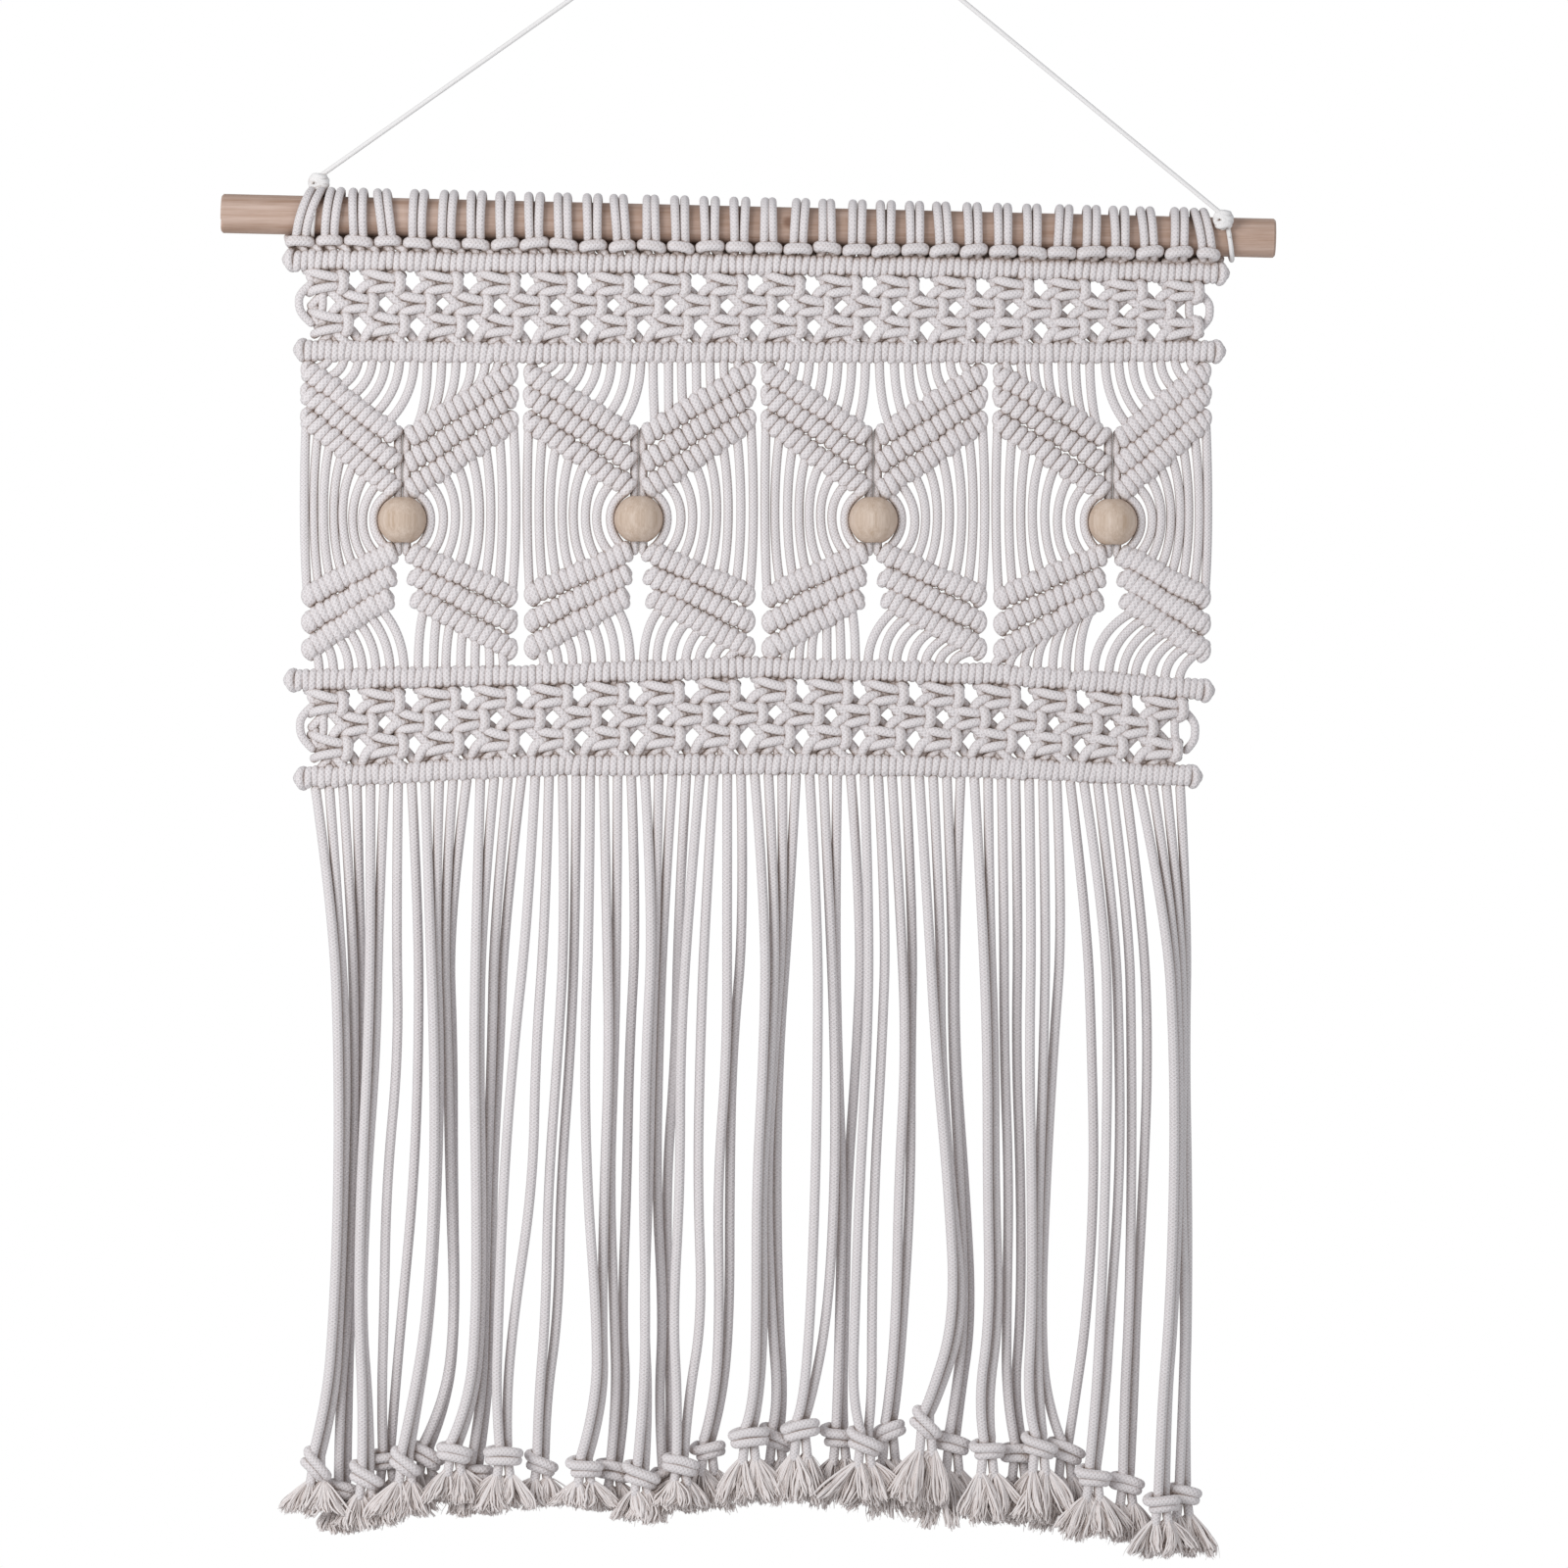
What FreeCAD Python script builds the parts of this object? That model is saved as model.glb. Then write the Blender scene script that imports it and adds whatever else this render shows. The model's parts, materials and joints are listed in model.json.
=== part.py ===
import FreeCAD, Part
import math
import os

from FreeCAD import Vector

# Knotted cotton wall hanging on a wooden dowel, as it hangs from one hook.
#
# Millimetres. +X runs to the viewer's right, +Y goes back to the wall and +Z is up.
# The origin is the point where the hanger cord bears on the hook.
#
# Thirty-two cords are folded over the dowel in lark's head knots, which gives sixty-four
# strands. From the top the strands make a half-hitch row, a net of square knots, a second
# row, four leaf motifs with a bead in the middle of each, a third row, a second net and a
# fourth row. Below that they hang free as a fringe, tied in pairs and frayed at the ends.

# --- Driving dimensions -------------------------------------------------------------
CORD_D = 4.0            # relaxed cotton cord
TIGHT_D = 3.4           # the same cord where it is pulled tight over the dowel
HANGER_D = 2.0          # thin hanging cord
HOOK_R = 3.0            # radius of the nail or hook that the hanger is made for
DOWEL_D, DOWEL_LENGTH = 16.0, 430.0
DOWEL_CENTRE = Vector(-13.3, 0, -151.0)
DOWEL_TILT = 1.35       # degrees; the right end hangs lower
BEAD_D, BEAD_BORE = 20.0, 7.6
BEAD_CORD_D = 3.5       # the two cords in a bead press each other thinner
PANEL_Y = -3.5          # the knotted panel hangs just in front of the dowel's axis
ROW_R, CARRIER_R = 4.0, 1.6
RIB_R = 3.8             # a leaf's diagonal row of half hitches
STRANDS, PAIRS, MOTIFS = 64, 32, 4
HALF_STRANDS = STRANDS // MOTIFS // 2
FIT_GAP = 0.35          # air between the dowel and the loops that turn on it
SEAM = 0.15             # air between two knots that only touch
MARRIED = 0.1           # how far two parts of one knot run into each other

# The five lines between the four motifs, and each motif's middle line and bead.
BORDERS = [-196.8, -106.0, -9.2, 85.2, 176.4]
MIDDLES = [-154.4, -58.0, 37.6, 135.2]
BEAD_Z = [-271.2, -270.8, -271.2, -272.0]

# Half-hitch rows: left end, right end, and the height at each border line.
ROWS = {
    1: (-201.0, 180.5, [-165.0, -166.4, -167.0, -168.6, -170.6]),
    2: (-196.5, 179.0, [-201.8, -203.2, -202.6, -203.2, -202.4]),
    3: (-200.5, 174.5, [-336.4, -334.6, -331.2, -334.0, -340.8]),
    4: (-196.5, 169.5, [-376.4, -371.5, -370.4, -372.0, -376.0]),
}
NET_LEVELS = [0.25, 0.48, 0.71]     # square-knot rows, as shares of the way down a net
NETS = {"upper": (1, 2), "lower": (3, 4)}
KNOT_WIDE, KNOT_NARROW, KNOT_DEEP, KNOT_CHAMFER = 8.4, 5.6, 3.7, 1.2

# The three slanting ribs of a half leaf, from the top one down: how far an outer end is
# in from the border line and how far below its row or bead it starts, and the same for
# the inner end from the motif's middle line and the bead's centre.
RIBS = {
    "upper": {"outer_in": [3.6, 3.4, 3.4], "outer_drop": [8.4, 17.4, 27.6],
              "inner_out": [3.4, 3.2, 3.4], "inner_z": [34.4, 23.4, 12.6]},
    "lower": {"outer_in": [3.8, 3.8, 3.8], "outer_drop": [31.0, 41.8, 52.6],
              "inner_out": [4.2, 4.9, 6.0], "inner_z": [-13.4, -22.6, -31.8]},
}
RIB_HITCHES = 14
FAN_R = 1.9             # strands between the leaves, pulled a little thinner
SHORTEST_FAN_STRAND = 4.0

# Fringe: the heights at which every strand's way down is set.
FRINGE_LEVELS = [-434.0, -488.0, -542.0, -596.0, -631.0]
# For each pair, left to right: x of its left strand and of its right strand at those
# levels, and its knot as x, z and the height that its frayed ends reach down to.
FRINGE = [
    ([-182, -180, -180, -182, -185], [-180, -177, -178, -180, -182], (-189, -655.6, -677)),
    ([-175, -174, -175, -177, -180], [-172, -171, -173, -176, -177], (-179, -666.8, -685)),
    ([-167, -168, -171, -172, -170], [-164, -165, -169, -171, -168], (-169, -660.0, -683)),
    ([-157, -156, -161, -162, -163], [-148, -148, -150, -155, -158], (-161, -654.0, -681)),
    ([-143, -141, -141, -144, -150], [-141, -139, -140, -143, -148], (-153, -654.8, -679)),
    ([-138, -136, -135, -133, -137], [-136, -134, -134, -133, -136], (-145, -652.8, -674)),
    ([-124, -125, -124, -124, -127], [-122, -123, -122, -122, -125], (-133, -650.8, -672)),
    ([-117, -118, -120, -121, -122], [-113, -115, -118, -118, -120], (-125, -660.0, -678)),
    ([-103, -109, -113, -115, -116], [-96, -100, -101, -109, -112], (-113, -652.0, -676)),
    ([-88, -91, -95, -96, -99], [-84, -86, -90, -91, -96], (-98, -655.6, -675)),
    ([-78, -80, -79, -75, -75], [-71, -70, -72, -73, -72], (-80, -656.4, -675)),
    ([-67, -68, -70, -68, -67], [-59, -62, -63, -65, -63], (-68, -658.8, -676)),
    ([-52, -55, -56, -55, -56], [-51, -53, -54, -56, -54], (-57, -659.6, -680)),
    ([-48, -50, -51, -48, -50], [-42, -43, -47, -46, -45], (-47, -660.0, -677)),
    ([-38, -41, -41, -44, -42], [-31, -33, -34, -32, -38], (-41, -655.6, -675)),
    ([-22, -22, -26, -25, -27], [-15, -20, -21, -21, -24], (-30, -650.0, -676)),
    ([-6, -7, -10, -10, -11], [-2, -4, -8, -7, -9], (-13, -644.4, -672)),
    ([1, -3, -6, -4, -1], [3, -1, -2, -1, 1], (-2, -645.2, -673)),
    ([15, 15, 14, 12, 9], [20, 22, 22, 19, 12], (8, -641.2, -673)),
    ([22, 23, 25, 24, 23], [33, 31, 27, 26, 25], (24, -644.4, -675)),
    ([36, 35, 32, 30, 29], [43, 41, 38, 37, 37], (34, -646.0, -673)),
    ([49, 51, 48, 47, 44], [54, 53, 53, 50, 47], (44, -642.8, -679)),
    ([60, 63, 68, 71, 60], [65, 65, 69, 75, 63], (59, -638.8, -674)),
    ([70, 70, 73, 75, 71], [71, 71, 75, 78, 73], (70, -647.6, -683)),
    ([82, 84, 84, 85, 80], [85, 87, 87, 89, 84], (84, -649.2, -680)),
    ([91, 91, 93, 92, 92], [97, 96, 98, 98, 95], (97, -651.6, -682)),
    ([102, 101, 102, 102, 100], [108, 107, 105, 104, 105], (105, -647.6, -680)),
    ([115, 111, 108, 106, 108], [125, 127, 128, 125, 120], (116, -650.8, -684)),
    ([132, 133, 132, 130, 128], [136, 138, 138, 134, 132], (127, -660.0, -687)),
    ([142, 143, 143, 142, 140], [148, 150, 148, 145, 144], (141, -664.0, -689)),
    ([157, 160, 160, 158, 155], [160, 162, 162, 160, 157], (155, -670.8, -694)),
    ([163, 164, 163, 165, 164], [166, 165, 166, 166, 165], (164, -668.4, -695)),
]
BUNCHES = [6, 3, 1, 6, 6, 7, 1, 2]  # pairs in each bunch that swings on its own
LAYER = 4.2                         # depth between a back, a middle and a front strand
TIE_R, TIE_HALF_WIDTH = 4.0, 5.8
TASSEL_TOP_R, TASSEL_R = 2.6, 4.6

LEFT, RIGHT = -1, 1


# --- Small helpers ------------------------------------------------------------------
def mix(a, b, share):
    return a + (b - a) * share


def row_height(row, x):
    """Height of a half-hitch row's centre line at x: straight between border lines."""
    heights = ROWS[row][2]
    for i in range(MOTIFS):
        if x < BORDERS[i + 1] or i == MOTIFS - 1:
            share = (x - BORDERS[i]) / (BORDERS[i + 1] - BORDERS[i])
            return mix(heights[i], heights[i + 1], share)


def strand_x(row, number):
    """Where a strand, numbered from 0 at the left, crosses a half-hitch row."""
    left, right, _ = ROWS[row]
    inset = ROW_R
    pitch = (right - left - 2 * inset) / STRANDS
    return left + inset + (number + 0.5) * pitch


def at(x, z, y=PANEL_Y):
    return Vector(x, y, z)


def rod(start, end, radius):
    """A straight stretch of cord."""
    run = end - start
    return Part.makeCylinder(radius, run.Length, start, run)


def arc_cord(start, middle, end, radius):
    """A stretch of cord that bends in one arc."""
    path = Part.Wire([Part.Arc(start, middle, end).toShape()])
    direction = path.Edges[0].tangentAt(path.Edges[0].FirstParameter)
    section = Part.Wire([Part.makeCircle(radius, path.Edges[0].Vertexes[0].Point, direction)])
    return path.makePipeShell([section], True, True)


def rounded_path(points, radii=None):
    """Straight runs joined by tangent arcs, each as large as its two runs allow."""
    edges, last = [], points[0]
    for i in range(1, len(points) - 1):
        into, out = points[i] - points[i - 1], points[i + 1] - points[i]
        half_turn = into.getAngle(out) / 2
        radius = 0.45 * min(into.Length, out.Length) / math.tan(half_turn)
        if radii:
            radius = radii[i - 1]
        cut = radius * math.tan(half_turn)
        begin = points[i] - into.normalize() * cut
        finish = points[i] + out.normalize() * cut
        inward = (begin + finish) * 0.5 - points[i]
        reach = radius / math.cos(half_turn) - radius
        crown = points[i] + inward.normalize() * reach
        edges.append(Part.LineSegment(last, begin).toShape())
        edges.append(Part.Arc(begin, crown, finish).toShape())
        last = finish
    edges.append(Part.LineSegment(last, points[-1]).toShape())
    return Part.Wire(edges)


def tube(path, radius):
    """A round cord along a path."""
    first = path.Edges[0]
    section = Part.Wire([Part.makeCircle(radius, first.Vertexes[0].Point,
                                         first.tangentAt(first.FirstParameter))])
    return path.makePipeShell([section], True, False)


def hitched_bar(start, end, peak, bore, hitches):
    """A bar of half hitches: one round rib for each wrap, around a bore if it has one."""
    length = (end - start).Length
    pitch = length / hitches
    valley = peak - 0.45
    edges = []
    for i in range(hitches):
        a, b = i * pitch, (i + 1) * pitch
        edges.append(Part.Arc(Vector(valley, 0, a), Vector(peak, 0, (a + b) / 2),
                              Vector(valley, 0, b)).toShape())
    corners = [Vector(valley, 0, length), Vector(bore, 0, length), Vector(bore, 0, 0),
               Vector(valley, 0, 0)]
    for a, b in zip(corners, corners[1:]):
        edges.append(Part.LineSegment(a, b).toShape())
    bar = Part.Face(Part.Wire(edges)).revolve(Vector(), Vector(0, 0, 1), 360)
    bar.Placement = FreeCAD.Placement(start, FreeCAD.Rotation(Vector(0, 0, 1), end - start))
    return bar


def dowel_point(x):
    """The point of the dowel's axis above or below x."""
    drop = math.tan(math.radians(DOWEL_TILT)) * (x - DOWEL_CENTRE.x)
    return Vector(x, DOWEL_CENTRE.y, DOWEL_CENTRE.z - drop)


def along_dowel():
    tilt = math.radians(DOWEL_TILT)
    return Vector(math.cos(tilt), 0, -math.sin(tilt))


def save(name, solids):
    """Writes one node, made of one or more separate solids."""
    solids = [s for shape in solids for s in shape.Solids]
    bad = [s for s in solids if not s.isValid() or s.Volume <= 0]
    shape = solids[0] if len(solids) == 1 else Part.makeCompound(solids)
    shape.exportStep(f"parts/{name}.step")
    volume = sum(s.Volume for s in solids)
    print(f"{name}: {len(solids)} solids, {volume / 1000:.2f} cm3, {len(bad)} invalid")


# --- Dowel and hanger ---------------------------------------------------------------
def dowel():
    """A plain round stick with broken edges and a chip split off its left end."""
    start = dowel_point(DOWEL_CENTRE.x) - along_dowel() * (DOWEL_LENGTH / 2)
    stick = Part.makeCylinder(DOWEL_D / 2, DOWEL_LENGTH)
    stick = stick.makeChamfer(0.8, [e for e in stick.Edges if e.Closed])
    chip = Part.makeCylinder(3.2, 8, Vector(1.6, -4, 0), Vector(0, 1, 0))
    chip.translate(Vector(3.4, -DOWEL_D / 2, -2.2))
    stick = stick.cut(chip)
    turned = FreeCAD.Rotation(Vector(0, 0, 1), along_dowel())
    stick.Placement = FreeCAD.Placement(start, turned)
    return stick


HANGER_TIES = [at(-188.6, -131.0, 0), at(180.0, -147.8, -12.0)]
HANGER_KNOT_R = 2.5


def hanger_cord():
    """One taut cord from tie to tie, over a hook at the origin."""
    bend = HOOK_R + HANGER_D / 2
    left, right = HANGER_TIES
    rise = (math.atan2(-left.z, -left.x) + math.atan2(-right.z, right.x)) / 2
    corner = at(0, HANGER_D / 2 + bend * (1 / math.cos(rise) - 1), 0)
    path = rounded_path([left, corner, right], [bend])
    print(f"hanger: {path.Length:.1f} mm of cord, radius {bend} mm over the hook")
    return tube(path, HANGER_D / 2)


def hanger_knot(tie, first_turn_x, turns):
    """The hanger's end: turns round the dowel, closed by a small knot above them."""
    ring_r = DOWEL_D / 2 + FIT_GAP + HANGER_D / 2
    turn_pitch = HANGER_D - 2 * MARRIED
    outward = (tie - dowel_point(tie.x)).normalize()
    centre = tie - outward * (HANGER_KNOT_R - MARRIED)
    knot = Part.makeSphere(HANGER_KNOT_R, centre)
    for i in range(turns):
        turn = dowel_point(first_turn_x + i * turn_pitch)
        knot = knot.fuse(Part.makeTorus(ring_r, HANGER_D / 2, turn, along_dowel()))
    neck_foot = dowel_point(first_turn_x + (turns - 1) * turn_pitch / 2) + outward * ring_r
    return knot.fuse(rod(neck_foot, centre, HANGER_D / 2))


# --- Lark's heads -------------------------------------------------------------------
LOOP_X = [-196.0 + 370.0 / (PAIRS - 1) * i for i in range(PAIRS)]


BAR_SWING = (30.0, 52.0)    # degrees forward from straight down, at the left and right ends
BAR_HALF = 3.6
LOOP_OUT = TIGHT_D / 2 + MARRIED


def larks_head(number):
    """Two loops round the dowel, the cross bar in front of them and two short legs."""
    x = LOOP_X[number]
    axis_point = dowel_point(x)
    major = DOWEL_D / 2 + FIT_GAP + TIGHT_D / 2
    bar_radius = major + TIGHT_D / 2 + CORD_D / 2 - 0.3
    swing = math.radians(mix(*BAR_SWING, number / (PAIRS - 1)))
    bar = axis_point + Vector(0, -math.sin(swing), -math.cos(swing)) * bar_radius
    half = Vector(BAR_HALF, 0, 0)
    knot = rod(bar - half, bar + half, CORD_D / 2)
    for side in (LEFT, RIGHT):
        knot = knot.fuse(Part.makeSphere(CORD_D / 2, bar + half * side))
        ring_x = axis_point + along_dowel() * (side * LOOP_OUT)
        knot = knot.fuse(Part.makeTorus(major, TIGHT_D / 2, ring_x, along_dowel()))
        top = ring_x + Vector(0, -math.sin(swing), -math.cos(swing)) * major
        row_x = x + side * LOOP_OUT
        foot = at(row_x, row_height(1, row_x) + ROW_R + 3 * SEAM)
        knot = knot.fuse(rod(top, foot, TIGHT_D / 2 - MARRIED))
    return knot.removeSplitter()


# --- Half-hitch rows and nets -------------------------------------------------------
def row_corners(row):
    left, right, heights = ROWS[row]
    xs = [left] + BORDERS[1:-1] + [right]
    return [at(x, row_height(row, x)) for x in xs]


def hitched_row(row):
    """Each motif's width of the row is one straight span of thirty-two half hitches."""
    spans = []
    corners = row_corners(row)
    for start, end in zip(corners, corners[1:]):
        step = (end - start).normalize() * SEAM
        spans.append(hitched_bar(start + step, end - step, ROW_R, CARRIER_R + 0.05, 32))
    return spans


def carrier(row):
    """The cord that a row is tied on, with its rounded ends standing out of the row."""
    corners = row_corners(row)
    out = Vector(3.0, 0, 0)
    corners = [corners[0] - out] + corners[1:-1] + [corners[-1] + out]
    cord = tube(rounded_path(corners, [60.0] * (len(corners) - 2)), CARRIER_R)
    for end in (corners[0], corners[-1]):
        cord = cord.fuse(Part.makeSphere(2.6, end))
    return cord


def square_knot(x, z, height):
    """One square knot as an eight-sided block: broad in the middle, narrower above."""
    wide, narrow, tall = KNOT_WIDE, KNOT_NARROW, height / 2
    outline = [(-wide, -tall / 2), (-narrow, -tall), (narrow, -tall), (wide, -tall / 2),
               (wide, tall / 2), (narrow, tall), (-narrow, tall), (-wide, tall / 2)]
    corners = [Vector(x + dx, PANEL_Y - KNOT_DEEP, z + dz) for dx, dz in outline]
    face = Part.Face(Part.makePolygon(corners + corners[:1]))
    block = face.extrude(Vector(0, 2 * KNOT_DEEP, 0))
    rims = [e for e in block.Edges if abs(e.tangentAt(e.FirstParameter).y) < 0.5]
    return block.makeChamfer(KNOT_CHAMFER, rims)


def net_row(net, level):
    """One row of square knots; the middle row is set over by two strands."""
    upper, lower = NETS[net]
    shift = 2 if level == 1 else 0
    knots = []
    for first in range(shift, STRANDS - 3, 4):
        share = NET_LEVELS[level]
        x = mix(*(strand_x(row, first + 1.5) for row in (upper, lower)), share)
        top, bottom = row_height(upper, x), row_height(lower, x)
        height = (top - bottom) * (NET_LEVELS[1] - NET_LEVELS[0]) - 2 * SEAM
        knots.append(square_knot(x, mix(top, bottom, share), height))
    return knots


def net_selvedges(net):
    """The two outer strands at each edge, which pass the middle knot row by."""
    upper, lower = NETS[net]
    cords = []
    for side, outer in ((LEFT, 0), (RIGHT, STRANDS - 1)):
        for inward in (0, 1):
            x = strand_x(upper, outer - side * inward)
            reach = row_height(upper, x) - row_height(lower, x)
            middle = mix(row_height(upper, x), row_height(lower, x), NET_LEVELS[1])
            half = reach * (NET_LEVELS[1] - NET_LEVELS[0]) / 2 - SEAM
            bow = side * (1.6 - 1.2 * inward)
            cords.append(arc_cord(at(x, middle + half), at(x + bow, middle),
                                  at(x, middle - half), CORD_D / 2 - 0.3))
    return cords


# --- Leaf motifs --------------------------------------------------------------------
def rib_ends(motif, side, half, number):
    """(outer end, inner end) of one diagonal rib.

    side is LEFT or RIGHT of the motif's middle; half is "upper" or "lower"; the ribs
    are numbered from 0 at the top.
    """
    rib = RIBS[half]
    border = BORDERS[motif] if side == LEFT else BORDERS[motif + 1]
    hung_from = row_height(2, border) if half == "upper" else BEAD_Z[motif]
    outer = at(border - side * rib["outer_in"][number], hung_from - rib["outer_drop"][number])
    inner = at(MIDDLES[motif] + side * rib["inner_out"][number],
               BEAD_Z[motif] + rib["inner_z"][number])
    return outer, inner


def leaf_ribs(motif, half):
    return [hitched_bar(*rib_ends(motif, side, half, n), RIB_R, 0, RIB_HITCHES)
            for side in (LEFT, RIGHT) for n in range(3)]


def strand_number(motif, side, place):
    """place counts 1 to 8 from the motif's border inwards."""
    first = motif * 2 * HALF_STRANDS
    return first + place - 1 if side == LEFT else first + 2 * HALF_STRANDS - place


def rib_point(ends, place, below):
    """Where a strand meets a rib's edge, counted from the rib's outer end."""
    outer, inner = ends
    share = (place - 1.25) / (HALF_STRANDS - 0.7)
    run = inner - outer
    slope = run.z / abs(run.x)
    reach = (RIB_R + 0.7) * math.sqrt(1 + slope * slope) + FAN_R * abs(slope)
    point = outer + run * share
    return at(point.x, point.z + (-reach if below else reach))


def upper_fan():
    """Strands from the second row down to each leaf's first rib."""
    cords = []
    for motif in range(MOTIFS):
        for side in (LEFT, RIGHT):
            ends = rib_ends(motif, side, "upper", 0)
            for place in range(2, HALF_STRANDS + 1):
                x = strand_x(2, strand_number(motif, side, place))
                top = at(x, row_height(2, x) - ROW_R - 1.0)
                foot = rib_point(ends, place, below=False)
                if top.z - foot.z > SHORTEST_FAN_STRAND:
                    cords.append(rod(top, foot, FAN_R))
    return cords


def middle_fan():
    """Strands from the upper leaf to the lower leaf, bowed round the bead."""
    cords = []
    nearest = BEAD_D / 2 + CORD_D / 2 + 0.5
    for motif in range(MOTIFS):
        for side in (LEFT, RIGHT):
            border = BORDERS[motif] if side == LEFT else BORDERS[motif + 1]
            furthest = abs(border - MIDDLES[motif]) - 3.2
            for place in range(1, HALF_STRANDS):
                top = rib_point(rib_ends(motif, side, "upper", 2), place + 0.5, below=True)
                foot = rib_point(rib_ends(motif, side, "lower", 0), place + 0.5, below=False)
                share = (place - 1) / (HALF_STRANDS - 2)
                x = MIDDLES[motif] + side * mix(furthest, nearest, share)
                bow = at(x, (top.z + foot.z) / 2)
                cords.append(arc_cord(top, bow, foot, FAN_R))
    return cords


def lower_fan():
    """Strands from each leaf's last rib down to the third row."""
    cords = []
    for motif in range(MOTIFS):
        for side in (LEFT, RIGHT):
            ends = rib_ends(motif, side, "lower", 2)
            for place in range(2, HALF_STRANDS + 1):
                x = strand_x(3, strand_number(motif, side, place))
                foot = at(x, row_height(3, x) + ROW_R + 2.2)
                top = rib_point(ends, place, below=True)
                if top.z - foot.z > SHORTEST_FAN_STRAND:
                    cords.append(rod(top, foot, FAN_R))
    return cords


def bead(motif):
    """A turned wooden ball, drilled through for two cords."""
    centre = at(MIDDLES[motif], BEAD_Z[motif])
    hole = Part.makeCylinder(BEAD_BORE / 2, BEAD_D, centre - Vector(0, 0, BEAD_D / 2))
    return Part.makeSphere(BEAD_D / 2, centre).cut(hole)


def bead_cords(motif):
    """The two strands that run down through the bead."""
    x, z = MIDDLES[motif], BEAD_Z[motif]
    reach = BEAD_D / 2 - 0.6
    apart = BEAD_CORD_D / 2 + MARRIED / 2
    return [rod(at(x + side * apart, z + reach), at(x + side * apart, z - reach), BEAD_CORD_D / 2)
            for side in (LEFT, RIGHT)]


# --- Fringe -------------------------------------------------------------------------
def pair_depth(pair):
    """Odd pairs hang behind even ones."""
    return PANEL_Y + (LAYER if pair % 2 else -LAYER)


def fringe_route(pair, side):
    """One fringe strand's points, from the fourth row to its knot."""
    left, right, tie = FRINGE[pair]
    strand = 2 * pair + (0 if side == LEFT else 1)
    depth = pair_depth(pair) + side * LAYER / 2
    x_top = strand_x(4, strand)
    points = [at(x_top, row_height(4, x_top) - ROW_R - 1.0)]
    for x, z in zip(left if side == LEFT else right, FRINGE_LEVELS):
        points.append(at(x, z, depth))
    points.append(at(tie[0] + side * 1.5, tie[1] + TIE_R - 0.3, depth))
    return points


def tie_centre(pair):
    x, z, _ = FRINGE[pair][2]
    return at(x, z, pair_depth(pair))


def fringe_strands(pairs):
    cords, tightest = [], []
    for pair in pairs:
        for side in (LEFT, RIGHT):
            path = rounded_path(fringe_route(pair, side))
            cord = tube(path, CORD_D / 2)
            tightest.append(min(e.Curve.Radius for e in path.Edges
                                if isinstance(e.Curve, Part.Circle)))
            share = cord.Volume / (math.pi * (CORD_D / 2) ** 2 * path.Length)
            if abs(share - 1) > 0.02:
                print(f"strand {pair} {side}: volume is {share:.3f} of section times length")
            cords.append(cord)
    print(f"fringe: tightest radius {min(tightest):.0f} mm, last length {path.Length:.0f} mm")
    return cords


def fringe_ends(pairs):
    """The overhand knot that ties each pair, and the frayed brush below it."""
    solids = []
    for pair in pairs:
        centre = tie_centre(pair)
        half = Vector(TIE_HALF_WIDTH - TIE_R, 0, 0)
        knot = rod(centre - half, centre + half, TIE_R)
        for side in (LEFT, RIGHT):
            knot = knot.fuse(Part.makeSphere(TIE_R, centre + half * side))
        brush_top = centre - Vector(0, 0, TIE_R - 0.8)
        length = brush_top.z - FRINGE[pair][2][2]
        brush = Part.makeCone(TASSEL_TOP_R, TASSEL_R, length, brush_top, Vector(0, 0, -1))
        solids.append(knot.fuse(brush))
    return solids


# --- Whole object -------------------------------------------------------------------
def build():
    os.makedirs("parts", exist_ok=True)
    for old in os.listdir("parts"):
        os.remove(os.path.join("parts", old))
    save("dowel", [dowel()])
    save("hanger_cord", [hanger_cord()])
    save("hanger_knot_left", [hanger_knot(HANGER_TIES[0], -190.6, 1)])
    save("hanger_knot_right", [hanger_knot(HANGER_TIES[1], 181.4, 2)])
    save("larks_head_knots", [larks_head(i) for i in range(PAIRS)])
    for row in ROWS:
        save(f"half_hitch_row_{row}", hitched_row(row))
        save(f"carrier_cord_{row}", [carrier(row)])
    for net in NETS:
        for level in range(3):
            save(f"{net}_net_knots_{level + 1}", net_row(net, level))
        save(f"{net}_net_selvedges", net_selvedges(net))
    for motif in range(MOTIFS):
        for half in ("upper", "lower"):
            save(f"leaf_{motif + 1}_{half}", leaf_ribs(motif, half))
        save(f"bead_{motif + 1}", [bead(motif)])
        save(f"bead_cords_{motif + 1}", bead_cords(motif))
    save("strands_upper_fan", upper_fan())
    save("strands_middle_fan", middle_fan())
    save("strands_lower_fan", lower_fan())
    first = 0
    for bunch, count in enumerate(BUNCHES, 1):
        pairs = range(first, first + count)
        save(f"fringe_{bunch}_strands", fringe_strands(pairs))
        save(f"fringe_{bunch}_ends", fringe_ends(pairs))
        first += count


build()
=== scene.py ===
# %% [markdown]
# # A knotted cotton wall hanging
# The piece is a macrame tapestry. Thirty-two cotton cords are folded over a wooden dowel,
# and the sixty-four strands are knotted into rows, nets and leaves before they hang free
# as a fringe. The solid model gives every knot's place. This lesson lays real-looking
# cord, wood and frayed cotton over it. Lengths are in metres, and names that end in _MM
# hold millimetres.

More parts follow.
